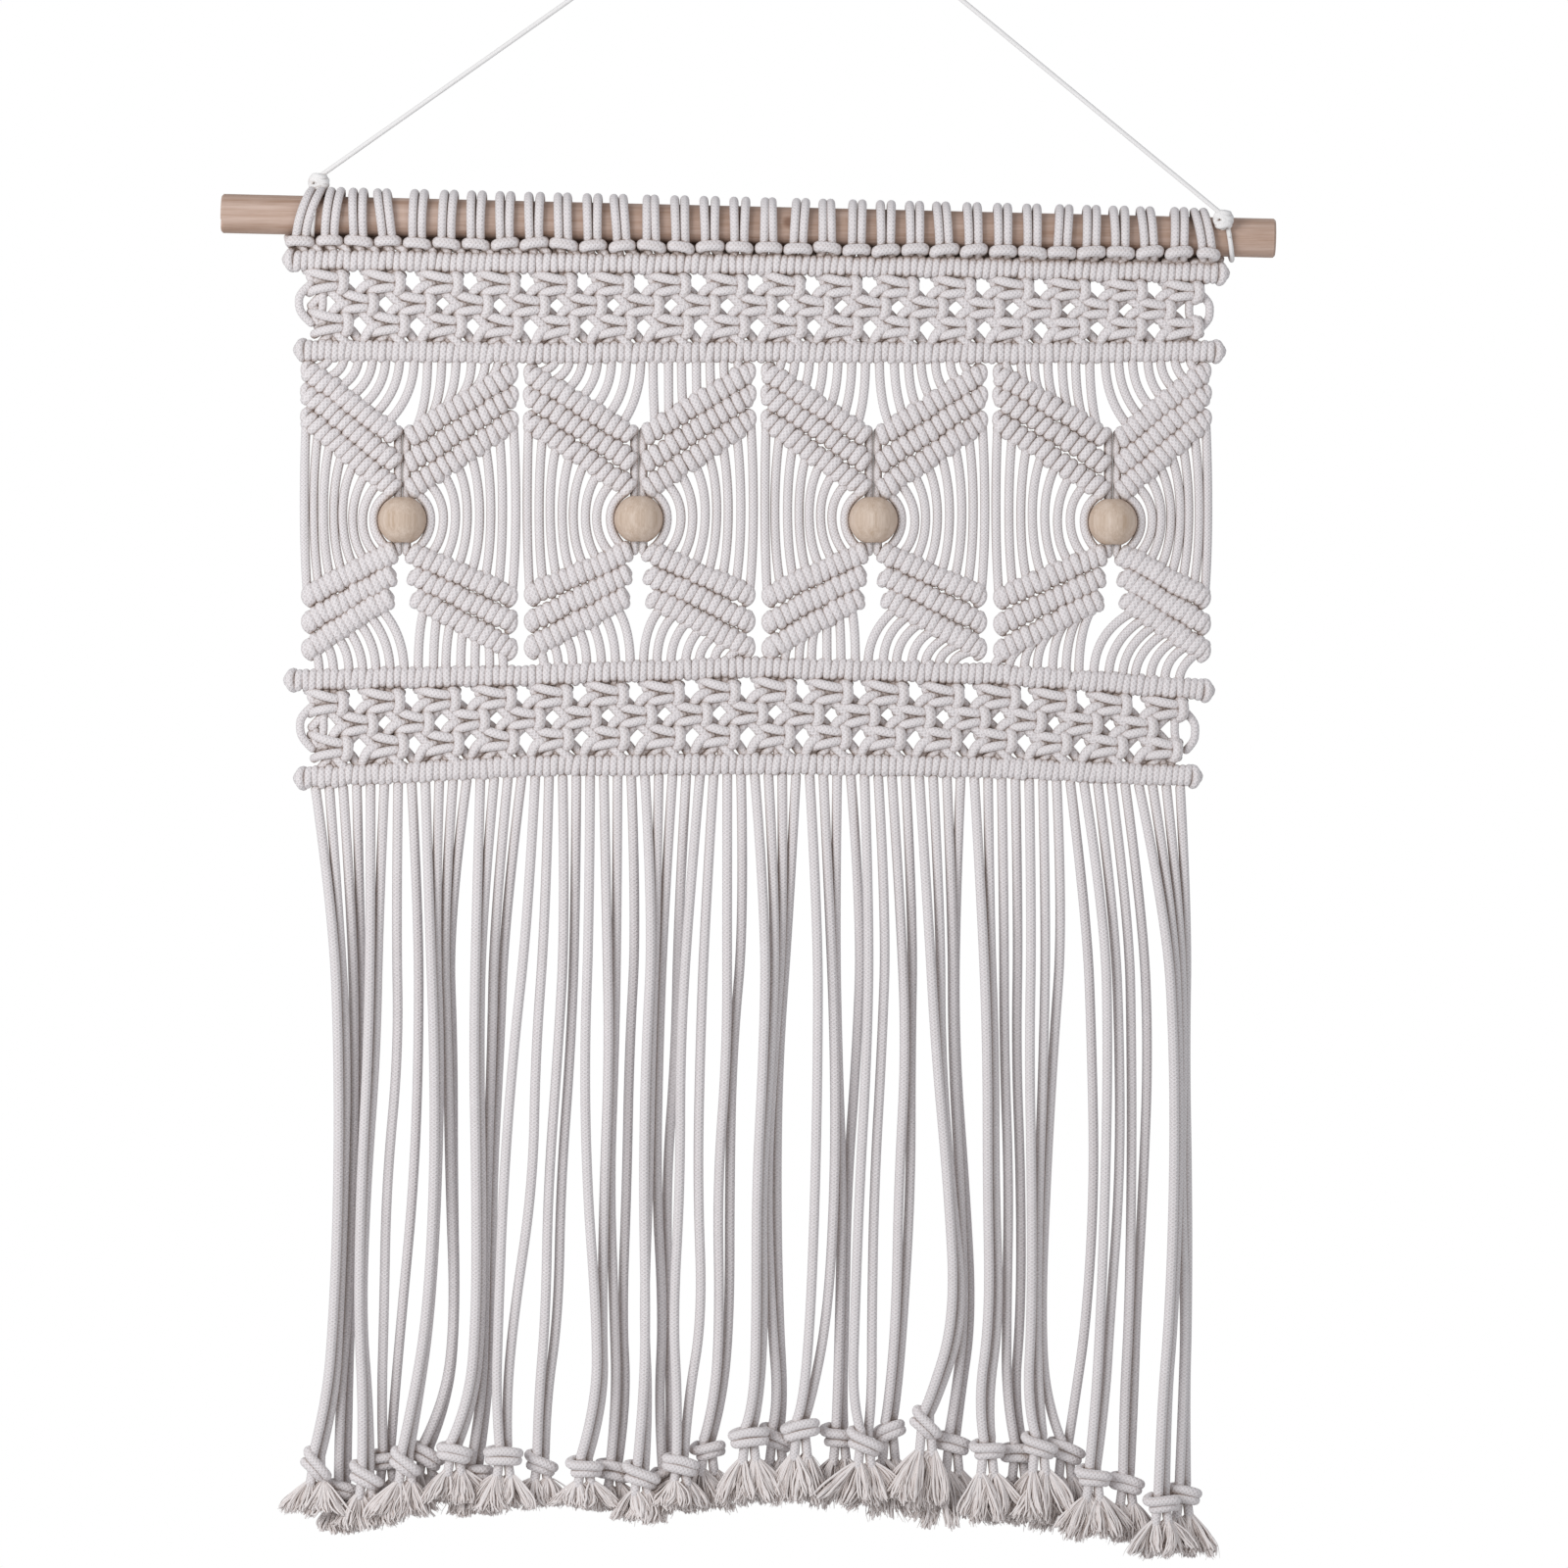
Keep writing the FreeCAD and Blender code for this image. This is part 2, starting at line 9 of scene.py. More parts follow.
# %% Open the solid model
import bpy
import json
import math
import numpy as np
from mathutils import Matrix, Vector

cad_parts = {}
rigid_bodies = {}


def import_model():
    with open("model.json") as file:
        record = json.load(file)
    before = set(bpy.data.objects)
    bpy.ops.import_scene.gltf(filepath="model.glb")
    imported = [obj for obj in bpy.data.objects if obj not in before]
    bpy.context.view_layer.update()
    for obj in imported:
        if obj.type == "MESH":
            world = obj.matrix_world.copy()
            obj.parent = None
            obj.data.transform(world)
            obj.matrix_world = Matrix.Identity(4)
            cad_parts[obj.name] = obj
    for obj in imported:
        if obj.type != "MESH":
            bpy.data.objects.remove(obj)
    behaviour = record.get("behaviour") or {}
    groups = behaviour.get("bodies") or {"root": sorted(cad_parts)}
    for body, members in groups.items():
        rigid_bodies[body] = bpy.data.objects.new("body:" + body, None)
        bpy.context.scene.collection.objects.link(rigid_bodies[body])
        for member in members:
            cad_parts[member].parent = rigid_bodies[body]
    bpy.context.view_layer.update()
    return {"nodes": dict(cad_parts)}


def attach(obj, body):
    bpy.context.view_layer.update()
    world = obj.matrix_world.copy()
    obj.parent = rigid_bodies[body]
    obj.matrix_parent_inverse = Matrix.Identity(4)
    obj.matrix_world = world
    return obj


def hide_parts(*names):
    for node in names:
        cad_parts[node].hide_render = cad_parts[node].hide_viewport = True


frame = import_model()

MM = 0.001
LEFT, RIGHT = -1, 1

# %% [markdown]
# ## Camera, light and floor
# Such a hanging is shown square on, from far enough away that nothing is foreshortened.
# A long lens at three metres does that, level with the middle of the work. The main light
# is a soft one from the left, a weaker one fills the right, and a third lights the back.
# An even white surround keeps the shadows open.
# The hanger's apex stays above the picture, as the hook isn't part of the piece.

# %% Camera
scene = bpy.context.scene
VIEW_CENTRE = Vector((0.0012, 0.0, -0.3788))
VIEW_WIDTH = 0.640
CAMERA_DISTANCE = 3.0

lens = bpy.data.cameras.new("camera")
lens.sensor_width = 36.0
lens.lens = lens.sensor_width * CAMERA_DISTANCE / VIEW_WIDTH
camera = bpy.data.objects.new("camera", lens)
camera.location = VIEW_CENTRE - Vector((0, CAMERA_DISTANCE, 0))
camera.rotation_euler = (math.radians(90), 0, 0)
scene.collection.objects.link(camera)
scene.camera = camera
print("lens:", round(lens.lens), "mm")

# %% Light and floor
def soft_lamp(name, place, target, side, power):
    """A square lamp that faces its target."""
    light = bpy.data.lights.new(name, "AREA")
    light.size, light.energy = side, power
    lamp = bpy.data.objects.new(name, light)
    lamp.location = place
    lamp.rotation_euler = (Vector(target) - Vector(place)).to_track_quat("-Z", "Y").to_euler()
    scene.collection.objects.link(lamp)


soft_lamp("key", (-1.4, -1.7, 0.15), (0, 0, -0.5), 1.1, 29)
soft_lamp("fill", (1.4, -2.0, -0.7), (0, 0, -0.62), 1.6, 11)
soft_lamp("back", (0.9, 2.4, 0.3), (0, 0, -0.4), 1.8, 15)
scene.view_settings.view_transform = "Standard"

world = bpy.data.worlds.new("studio")
world.use_nodes = True
scene.world = world
surround = world.node_tree
surround.nodes["Background"].inputs["Color"].default_value = (0.93, 0.96, 1.0, 1)
surround.nodes["Background"].inputs["Strength"].default_value = 0.46
backdrop = surround.nodes.new("ShaderNodeBackground")
backdrop.inputs["Color"].default_value = (1, 1, 1, 1)
chooser = surround.nodes.new("ShaderNodeMixShader")
path = surround.nodes.new("ShaderNodeLightPath")
surround.links.new(path.outputs["Is Camera Ray"], chooser.inputs[0])
surround.links.new(surround.nodes["Background"].outputs[0], chooser.inputs[1])
surround.links.new(backdrop.outputs[0], chooser.inputs[2])
surround.links.new(chooser.outputs[0], surround.nodes["World Output"].inputs[0])

FLOOR_Z = -0.80
floor_mesh = bpy.data.meshes.new("floor")
floor_mesh.from_pydata([(-1.5, -1.2, FLOOR_Z), (1.5, -1.2, FLOOR_Z), (1.5, 0.6, FLOOR_Z),
                        (-1.5, 0.6, FLOOR_Z)], [], [(0, 1, 2, 3)])
floor = bpy.data.objects.new("floor", floor_mesh)
scene.collection.objects.link(floor)

# %% [markdown]
# ## How a cord is laid
# Every cord, loop and wrap starts as a few points that say where it goes. An open NURBS
# curve runs smoothly along them, and a round tube is swept along that curve. One tube
# maker serves all of them, so the cords match. It also writes a map of each tube: one
# direction goes round the cord and the other along it, both in metres, and the cotton's
# braid is drawn on that map.

# %% A smooth line along a route
def nurbs_line(points, steps=6):
    """The line that a cord follows, steered by its route's points."""
    curve = bpy.data.curves.new("route", "CURVE")
    curve.dimensions = "3D"
    curve.resolution_u = steps
    spline = curve.splines.new("NURBS")
    spline.points.add(len(points) - 1)
    for point, place in zip(spline.points, points):
        point.co = (*place, 1.0)
    spline.order_u = 3
    spline.use_endpoint_u = True
    holder = bpy.data.objects.new("route", curve)
    mesh = bpy.data.meshes.new_from_object(holder)
    line = np.array([v.co for v in mesh.vertices])
    bpy.data.objects.remove(holder)
    bpy.data.curves.remove(curve)
    bpy.data.meshes.remove(mesh)
    return line


def line_length(line):
    return float(np.linalg.norm(np.diff(line, axis=0), axis=1).sum())


# %% A tube along a line
def tube(line, radius, around=12, flat=1.0, ends=(1.0, 1.0)):
    """Rings of points along the line, as (vertices, faces, map, side). radius may vary
    along the line. flat squashes the section. ends are the two caps' share of a dome."""
    line = np.asarray(line, float)
    radii = np.broadcast_to(np.asarray(radius, float), (len(line),)).copy()
    tangent = np.gradient(line, axis=0)
    tangent /= np.linalg.norm(tangent, axis=1)[:, None]
    normal = np.zeros_like(line)
    start = np.array([0.0, -1.0, 0.0])
    if abs(tangent[0][1]) > 0.9:
        start = np.array([0.0, 0.0, 1.0])
    for i, t in enumerate(tangent):
        start = start - t * start.dot(t)
        start /= np.linalg.norm(start)
        normal[i] = start
    dome = np.radians([78, 50, 22])
    rings, size, way, straight = [], [], [], []
    for angle in dome:
        rings.append(line[0] - tangent[0] * radii[0] * math.sin(angle) * ends[0])
        size.append(radii[0] * math.cos(angle))
        way.append(0)
    for i in range(len(line)):
        rings.append(line[i])
        size.append(radii[i])
        way.append(i)
    for angle in dome[::-1]:
        rings.append(line[-1] + tangent[-1] * radii[-1] * math.sin(angle) * ends[1])
        size.append(radii[-1] * math.cos(angle))
        way.append(len(line) - 1)
    rings, size, way = np.array(rings), np.array(size), np.array(way)
    turn = np.linspace(0, 2 * math.pi, around, endpoint=False)
    across = np.cross(tangent, normal)
    n, b = normal[way], across[way]
    spread = (n[:, None, :] * np.cos(turn)[None, :, None] * flat
              + b[:, None, :] * np.sin(turn)[None, :, None])
    verts = (rings[:, None, :] + spread * size[:, None, None]).reshape(-1, 3)
    count = len(rings)
    i, j = np.meshgrid(np.arange(count - 1), np.arange(around), indexing="ij")
    k = (j + 1) % around
    faces = np.stack([i * around + j, i * around + k, (i + 1) * around + k,
                      (i + 1) * around + j], -1).reshape(-1, 4)
    along = np.concatenate([[0], np.cumsum(np.linalg.norm(np.diff(rings, axis=0), axis=1))])
    girth = 2 * math.pi * float(radii.max())
    u = np.stack([j, j + 1, j + 1, j], -1).reshape(-1, 4) / around * girth
    v = np.stack([along[i], along[i], along[i + 1], along[i + 1]], -1).reshape(-1, 4)
    # side is 1 at a tube's two sides and 0 at its front and back; it weights the painted shade
    # along the cord's sides.
    side = np.broadcast_to(np.abs(np.sin(turn))[None, :], (count, around)).reshape(-1)
    return verts, faces, np.stack([u, v], -1).reshape(-1, 2), side


# %% Many tubes in one piece
def piece(name, tubes, material, body, nodes=()):
    """One object made of tubes. It rides on a body and stands for CAD nodes."""
    verts = np.concatenate([t[0] for t in tubes])
    offsets = np.cumsum([0] + [len(t[0]) for t in tubes[:-1]])
    faces = np.concatenate([t[1] + o for t, o in zip(tubes, offsets)])
    mesh = bpy.data.meshes.new(name)
    mesh.from_pydata(verts.tolist(), [], faces.tolist())
    mesh.uv_layers.new(name="cord_map").data.foreach_set(
        "uv", np.concatenate([t[2] for t in tubes]).astype(np.float32).ravel())
    # Each point's weight of painted shade along the cord's sides, which the cotton material reads.
    side_shade_weight = mesh.attributes.new("side_shade_weight", "FLOAT", "POINT")
    side_shade_weight.data.foreach_set("value", np.concatenate([t[3] for t in tubes]).astype(np.float32))
    mesh.shade_smooth()
    mesh.materials.append(material)
    made = bpy.data.objects.new(name, mesh)
    scene.collection.objects.link(made)
    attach(made, body)
    if nodes:
        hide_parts(*nodes)
    return made


def shade_cord_sides(tube_parts, side_shade_weight):
    """The same tube with its sides' painted shade scaled by one value, the same along the whole
    cord.
    """
    verts, faces, uv, side = tube_parts
    return verts, faces, uv, side * side_shade_weight


# %% [markdown]
# ## Cotton, wood and thread
# The cotton is braided and undyed, so it is an off-white with a slight grey cast, dull,
# with a soft fuzz at its edges. Its braid is about a millimetre across. Where two cords
# press together the groove between them lies in shade, which looks warm brown as light
# bounces from fibre to fibre. That brown is painted shade: it is mixed into the colour
# where a point is sheltered by cord close by, and a little along the sides of cords that
# are pressed together. The braid's own grooves get a darker tone, also painted shade.
# The dowel is peeled birch with long grain, and the beads are turned from a paler wood
# and left bare.

# %% Colour and node helpers
def colour(hex_code):
    """An sRGB hex colour as the linear values that the renderer works in."""
    parts = [int(hex_code[i:i + 2], 16) / 255 for i in (1, 3, 5)]
    linear = [p / 12.92 if p <= 0.04045 else ((p + 0.055) / 1.055) ** 2.4 for p in parts]
    return (*linear, 1.0)


def add(tree, kind, inputs=(), **options):
    """Adds a node. inputs gives each socket a value or another node's output."""
    made = tree.nodes.new(kind)
    for name, value in options.items():
        setattr(made, name, value)
    for socket, value in dict(inputs).items():
        if isinstance(value, bpy.types.NodeSocket):
            tree.links.new(value, made.inputs[socket])
        else:
            made.inputs[socket].default_value = value
    return made


def new_material(name, **sockets):
    """A material and its shader, with uniform values set straight on the shader."""
    material = bpy.data.materials.new(name)
    material.use_nodes = True
    shader = material.node_tree.nodes["Principled BSDF"]
    for socket, value in sockets.items():
        shader.inputs[socket.replace("_", " ")].default_value = value
    return material, material.node_tree, shader


# %% Braided cotton
# Sixteen yarns cross in a braid of about 1.3 mm, drawn as two sets of slanting ridges.
# A finer noise gives single fibres. Cotton's refractive index is 1.53, and it is rough.
SHELTER_REACH = 0.005


def cotton(name, light, dark, painted_shade_colour, yarn=0.0013, relief=0.00026, shade=0.85):
    material, tree, shader = new_material(
        name, Roughness=0.92, IOR=1.53, Specular_IOR_Level=0.25, Sheen_Weight=0.25,
        Sheen_Roughness=0.5)
    place = add(tree, "ShaderNodeUVMap", uv_map="cord_map").outputs["UV"]
    where = add(tree, "ShaderNodeTexCoord").outputs["Object"]
    ridges = []
    for slant in (1, -1):
        turned = add(tree, "ShaderNodeMapping", {
            "Vector": place, "Rotation": (0, 0, math.radians(58) * slant)})
        wave = add(tree, "ShaderNodeTexWave", {
            "Vector": turned.outputs[0], "Scale": 0.314 / yarn, "Distortion": 0.6,
            "Detail": 1.0}, wave_profile="SIN")
        ridges.append(wave.outputs["Fac"])
    braid = add(tree, "ShaderNodeMath", {0: ridges[0], 1: ridges[1]}, operation="MAXIMUM")
    fibres = add(tree, "ShaderNodeTexNoise", {"Vector": where, "Scale": 2600.0, "Detail": 3.0})
    height = add(tree, "ShaderNodeMath", {0: fibres.outputs["Fac"], 1: 0.35,
                                          2: braid.outputs[0]}, operation="MULTIPLY_ADD")
    bump = add(tree, "ShaderNodeBump", {"Height": height.outputs[0], "Distance": relief,
                                        "Strength": 1.0})
    tree.links.new(bump.outputs[0], shader.inputs["Normal"])
    # The tone mixes random patches of lighter and darker cotton with painted shade in the braid's
    # grooves, which get the darker colour.
    patches = add(tree, "ShaderNodeTexNoise", {"Vector": where, "Scale": 130.0, "Detail": 2.0})
    braid_groove_shade = add(tree, "ShaderNodeMath", {0: 1.0, 1: braid.outputs[0]}, operation="SUBTRACT")
    toned = add(tree, "ShaderNodeMath", {0: patches.outputs["Fac"], 1: 0.5,
                                         2: braid_groove_shade.outputs[0]}, operation="MULTIPLY_ADD")
    tone = add(tree, "ShaderNodeMix", {"Factor": toned.outputs[0], 6: colour(light),
                                       7: colour(dark)}, data_type="RGBA")
    # Painted shade along the sides of pressed cords: where the side weight passes 0.8, up to 45
    # percent of the warm brown painted shade colour is mixed in.
    side_shade_input = add(tree, "ShaderNodeAttribute", attribute_name="side_shade_weight")
    painted_side_shade = add(tree, "ShaderNodeMapRange", {"Value": side_shade_input.outputs["Fac"], "From Min": 0.80,
                                               "From Max": 1.0, "To Min": 0.0, "To Max": 0.45})
    # Painted shade in hollows: where other cord lies within SHELTER_REACH, the colour is mixed
    # toward the same brown, up to shade.
    sheltered = add(tree, "ShaderNodeAmbientOcclusion", {"Distance": SHELTER_REACH}, samples=6)
    painted_hollow_shade = add(tree, "ShaderNodeMapRange", {"Value": sheltered.outputs["AO"], "From Min": 0.70,
                                              "From Max": 0.15, "To Min": 0.0,
                                              "To Max": shade})
    # deep is the stronger of the two painted shades.
    deep = add(tree, "ShaderNodeMath", {0: painted_side_shade.outputs[0], 1: painted_hollow_shade.outputs[0]},
               operation="MAXIMUM")
    final = add(tree, "ShaderNodeMix", {"Factor": deep.outputs[0], 6: tone.outputs[2],
                                        7: colour(painted_shade_colour)}, data_type="RGBA")
    tree.links.new(final.outputs[2], shader.inputs["Base Color"])
    return material


# Each cotton's third colour is its painted shade colour, the warm brown of shade in creases.
COTTON = cotton("undyed braided cotton", "#EAE5E6", "#D9D2D2", "#92755F")
HANGER_THREAD = cotton("thin hanging cord", "#F1EFEE", "#E6E3E2", "#B8A89C", 0.0007, 0.00006)
FRAYED = cotton("frayed cotton fibre", "#F1EBEA", "#E4DBD8", "#A98E7C", 0.0005, 0.00006, 0.6)

# %% Bare wood
# Grain runs along the piece: noise stretched lengthwise in fine dark pores, over slow
# bands of lighter and darker wood. Bare sanded wood is rough, with an index of 1.5.
def bare_wood(name, light, dark, grain_axis, grain=0.0006, knots=()):
    material, tree, shader = new_material(name, Roughness=0.62, IOR=1.5)
    where = add(tree, "ShaderNodeTexCoord").outputs["Object"]
    stretch = [1.0 / grain] * 3
    stretch[grain_axis] = 1.0 / (grain * 28)
    drawn = add(tree, "ShaderNodeMapping", {"Vector": where, "Scale": stretch})
    pores = add(tree, "ShaderNodeTexNoise", {"Vector": drawn.outputs[0], "Scale": 1.0,
                                             "Detail": 4.0, "Roughness": 0.6})
    slow = add(tree, "ShaderNodeMapping", {"Vector": where,
                                           "Scale": [s * 0.18 for s in stretch]})
    bands = add(tree, "ShaderNodeTexNoise", {"Vector": slow.outputs[0], "Scale": 1.0,
                                             "Detail": 2.0})
    both = add(tree, "ShaderNodeMath", {0: pores.outputs["Fac"], 1: bands.outputs["Fac"]},
               operation="ADD")
    spread = add(tree, "ShaderNodeMapRange", {"Value": both.outputs[0], "From Min": 0.70,
                                              "From Max": 1.30})
    mixed = add(tree, "ShaderNodeMix", {"Factor": spread.outputs[0], 6: colour(dark),
                                        7: colour(light)}, data_type="RGBA").outputs[2]
    for place, size in knots:
        away = add(tree, "ShaderNodeVectorMath", {0: where, 1: place}, operation="DISTANCE")
        near = add(tree, "ShaderNodeMapRange", {"Value": away.outputs["Value"],
                                                "From Min": size * 0.4, "From Max": size,
                                                "To Min": 0.8, "To Max": 0.0})
        mixed = add(tree, "ShaderNodeMix", {"Factor": near.outputs[0], 6: mixed,
                                            7: colour("#7A5742")}, data_type="RGBA").outputs[2]
    tree.links.new(mixed, shader.inputs["Base Color"])
    bump = add(tree, "ShaderNodeBump", {"Height": pores.outputs["Fac"], "Distance": 0.00008})
    tree.links.new(bump.outputs[0], shader.inputs["Normal"])
    return material


# %% [markdown]
# ## The lines that the work is built on
# The maker ties four straight half-hitch rows, and everything else hangs between them.
# Each row sags a little, so its height is given at the lines between the four leaf
# motifs. These are the solid model's own dimensions, in millimetres.

# %% Rows, motifs and beads
PANEL_Y_MM = -3.5
BORDERS_MM = [-196.8, -106.0, -9.2, 85.2, 176.4]
MIDDLES_MM = [-154.4, -58.0, 37.6, 135.2]
BEAD_Z_MM = [-271.2, -270.8, -271.2, -272.0]
ROWS_MM = {
    1: (-201.0, 180.5, [-165.0, -166.4, -167.0, -168.6, -170.6]),
    2: (-196.5, 179.0, [-201.8, -203.2, -202.6, -203.2, -202.4]),
    3: (-200.5, 174.5, [-336.4, -334.6, -331.2, -334.0, -340.8]),
    4: (-196.5, 169.5, [-376.4, -371.5, -370.4, -372.0, -376.0]),
}
ROW_R_MM = 4.0
DOWEL_CENTRE_MM = (-13.3, -151.0)
DOWEL_TILT = math.radians(1.35)


def mix(a, b, share):
    return a + (b - a) * share


def row_height(row, x):
    """Height of a row's centre line at x."""
    return float(np.interp(x, BORDERS_MM, ROWS_MM[row][2]))


def strand_x(row, number):
    """Where a strand, numbered from 0 at the left, crosses a row."""
    left, right, _ = ROWS_MM[row]
    return left + ROW_R_MM + (number + 0.5) * (right - left - 2 * ROW_R_MM) / 64


def dowel_z(x):
    return DOWEL_CENTRE_MM[1] - math.tan(DOWEL_TILT) * (x - DOWEL_CENTRE_MM[0])


def metres(points):
    return [[c * MM for c in p] for p in points]


def placed(line, origin, along=(1, 0, 0), up=(0, 0, 1), size=(1, 1, 1)):
    """A line drawn as (along, depth, up) set down in the work."""
    along, up = np.array(along, float), np.array(up, float)
    depth = np.cross(up, along)
    line = np.asarray(line) * np.array(size)
    return np.array(origin) + line @ np.stack([along, depth, up])


rng = np.random.default_rng(7)

# %% [markdown]
# ## The hanging cord
# A thin twisted cord runs from one end of the dowel over the hook and down to the other
# end. It is taut, so each run is straight, and its only bend is over the hook. Each end
# goes round the dowel and closes in a small knot.

# %% Hanging cord
HANGER_D = 0.002
LEFT_TIE_MM, RIGHT_TIE_MM = (-188.6, 0.0, -131.0), (180.0, -12.0, -147.8)
APEX_MM = (0.0, 0.0, 2.0)


def toward(start, end, distance):
    """The point at that distance from start on the way to end."""
    start, end = np.array(start), np.array(end)
    return start + (end - start) * distance / np.linalg.norm(end - start)


hanger_line = nurbs_line(metres([LEFT_TIE_MM, toward(APEX_MM, LEFT_TIE_MM, 10), APEX_MM,
                                 toward(APEX_MM, RIGHT_TIE_MM, 10), RIGHT_TIE_MM]), 16)
hanger = piece("hanging_cord", [shade_cord_sides(tube(hanger_line, HANGER_D / 2, 10), 0.0)],
               HANGER_THREAD, "hanger", ["hanger_cord"])
print("hanging cord:", round(line_length(hanger_line) * 1000, 1), "mm")


# %% Fringe routes
# Each strand leaves the fourth row, hangs down through five heights and ends in its
# pair's knot. The lists give each pair's two strands and its knot, left to right.
FRINGE_LEVELS_MM = [-434.0, -488.0, -542.0, -596.0, -631.0]
FRINGE = [
    ([-182, -180, -180, -182, -185], [-180, -177, -178, -180, -182], (-189, -655.6, -677)),
    ([-175, -174, -175, -177, -180], [-172, -171, -173, -176, -177], (-179, -666.8, -685)),
    ([-167, -168, -171, -172, -170], [-164, -165, -169, -171, -168], (-169, -660.0, -683)),
    ([-157, -156, -161, -162, -163], [-148, -148, -150, -155, -158], (-161, -654.0, -681)),
    ([-143, -141, -141, -144, -150], [-141, -139, -140, -143, -148], (-153, -654.8, -679)),
    ([-138, -136, -135, -133, -137], [-136, -134, -134, -133, -136], (-145, -652.8, -674)),
    ([-124, -125, -124, -124, -127], [-122, -123, -122, -122, -125], (-133, -650.8, -672)),
    ([-117, -118, -120, -121, -122], [-113, -115, -118, -118, -120], (-125, -660.0, -678)),
    ([-103, -109, -113, -115, -116], [-96, -100, -101, -109, -112], (-113, -652.0, -676)),
    ([-88, -91, -95, -96, -99], [-84, -86, -90, -91, -96], (-98, -655.6, -675)),
    ([-78, -80, -79, -75, -75], [-71, -70, -72, -73, -72], (-80, -656.4, -675)),
    ([-67, -68, -70, -68, -67], [-59, -62, -63, -65, -63], (-68, -658.8, -676)),
    ([-52, -55, -56, -55, -56], [-51, -53, -54, -56, -54], (-57, -659.6, -680)),
    ([-48, -50, -51, -48, -50], [-42, -43, -47, -46, -45], (-47, -660.0, -677)),
    ([-38, -41, -41, -44, -42], [-31, -33, -34, -32, -38], (-41, -655.6, -675)),
    ([-22, -22, -26, -25, -27], [-15, -20, -21, -21, -24], (-30, -650.0, -676)),
    ([-6, -7, -10, -10, -11], [-2, -4, -8, -7, -9], (-13, -644.4, -672)),
    ([1, -3, -6, -4, -1], [3, -1, -2, -1, 1], (-2, -645.2, -673)),
    ([15, 15, 14, 12, 9], [20, 22, 22, 19, 12], (8, -641.2, -673)),
    ([22, 23, 25, 24, 23], [33, 31, 27, 26, 25], (24, -644.4, -675)),
    ([36, 35, 32, 30, 29], [43, 41, 38, 37, 37], (34, -646.0, -673)),
    ([49, 51, 48, 47, 44], [54, 53, 53, 50, 47], (44, -642.8, -679)),
    ([60, 63, 68, 71, 60], [65, 65, 69, 75, 63], (59, -638.8, -674)),
    ([70, 70, 73, 75, 71], [71, 71, 75, 78, 73], (70, -647.6, -683)),
    ([82, 84, 84, 85, 80], [85, 87, 87, 89, 84], (84, -649.2, -680)),
    ([91, 91, 93, 92, 92], [97, 96, 98, 98, 95], (97, -651.6, -682)),
    ([102, 101, 102, 102, 100], [108, 107, 105, 104, 105], (105, -647.6, -680)),
    ([115, 111, 108, 106, 108], [125, 127, 128, 125, 120], (116, -650.8, -684)),
    ([132, 133, 132, 130, 128], [136, 138, 138, 134, 132], (127, -660.0, -687)),
    ([142, 143, 143, 142, 140], [148, 150, 148, 145, 144], (141, -664.0, -689)),
    ([157, 160, 160, 158, 155], [160, 162, 162, 160, 157], (155, -670.8, -694)),
    ([163, 164, 163, 165, 164], [166, 165, 166, 166, 165], (164, -668.4, -695)),
]
BUNCHES = [6, 3, 1, 6, 6, 7, 1, 2]
LAYER_MM = 4.2
CORD_D = 0.004


def pair_depth(pair):
    return PANEL_Y_MM + (LAYER_MM if pair % 2 else -LAYER_MM)


def fringe_route(pair, side):
    """One strand's points, from the fourth row down to its knot."""
    left, right, tie = FRINGE[pair]
    x_top = strand_x(4, 2 * pair + (side == RIGHT))
    depth = pair_depth(pair) + side * LAYER_MM / 2
    points = [(x_top, PANEL_Y_MM, row_height(4, x_top) - ROW_R_MM - 1.0)]
    points += [(x, depth, z) for x, z in zip(left if side == LEFT else right,
                                             FRINGE_LEVELS_MM)]
    points.append((tie[0] + side * 1.5, depth, tie[1] + 3.7))
    return metres(points)


# %% [markdown]
# ## The fringe's knots and frayed ends
# Each pair ends in an overhand knot: the two strands lie side by side and wrap once
# round themselves, which makes two fat bars with a neck below. Under the knot the braid
# is combed out, so the cotton opens into a brush. Its fine wavy locks cling together in
# clumps, and loose fibres stand between them.

# %% Overhand knots
# Two ways that such a knot sets: two wraps side by side, or one slanting wrap that
# hides most of the other.
OVERHANDS_MM = [
    [[(-3.0, 1.5, 2.4), (-6.0, 0.8, 2.2), (-6.4, -2.6, 1.4), (-2.0, -4.2, 2.1),
      (3.5, -4.0, 1.4), (6.4, -2.0, 0.5), (6.2, 1.8, 0.1), (2.0, 2.8, 1.0)],
     [(-2.0, 2.2, -1.0), (-5.6, 1.4, -0.8), (-6.0, -2.2, -1.7), (-2.5, -3.8, -1.6),
      (3.0, -3.6, -2.2), (5.6, -1.6, -2.6), (5.4, 2.0, -2.4), (1.0, 2.8, -1.6)]],
    [[(-3.6, 1.6, 3.0), (-6.4, -0.6, 2.8), (-5.4, -3.6, 1.4), (0.0, -4.6, 0.5),
      (5.0, -3.8, -0.4), (6.8, -1.0, -1.2), (5.0, 1.8, -1.8)],
     [(-3.4, 1.2, -2.2), (-5.2, -0.8, -2.2), (-2.0, -2.8, -2.4), (3.0, -2.4, -3.0),
      (5.0, 0.6, -3.6)]],
]
OVERHANDS = [[nurbs_line(metres(route), 5) for route in routes] for routes in OVERHANDS_MM]
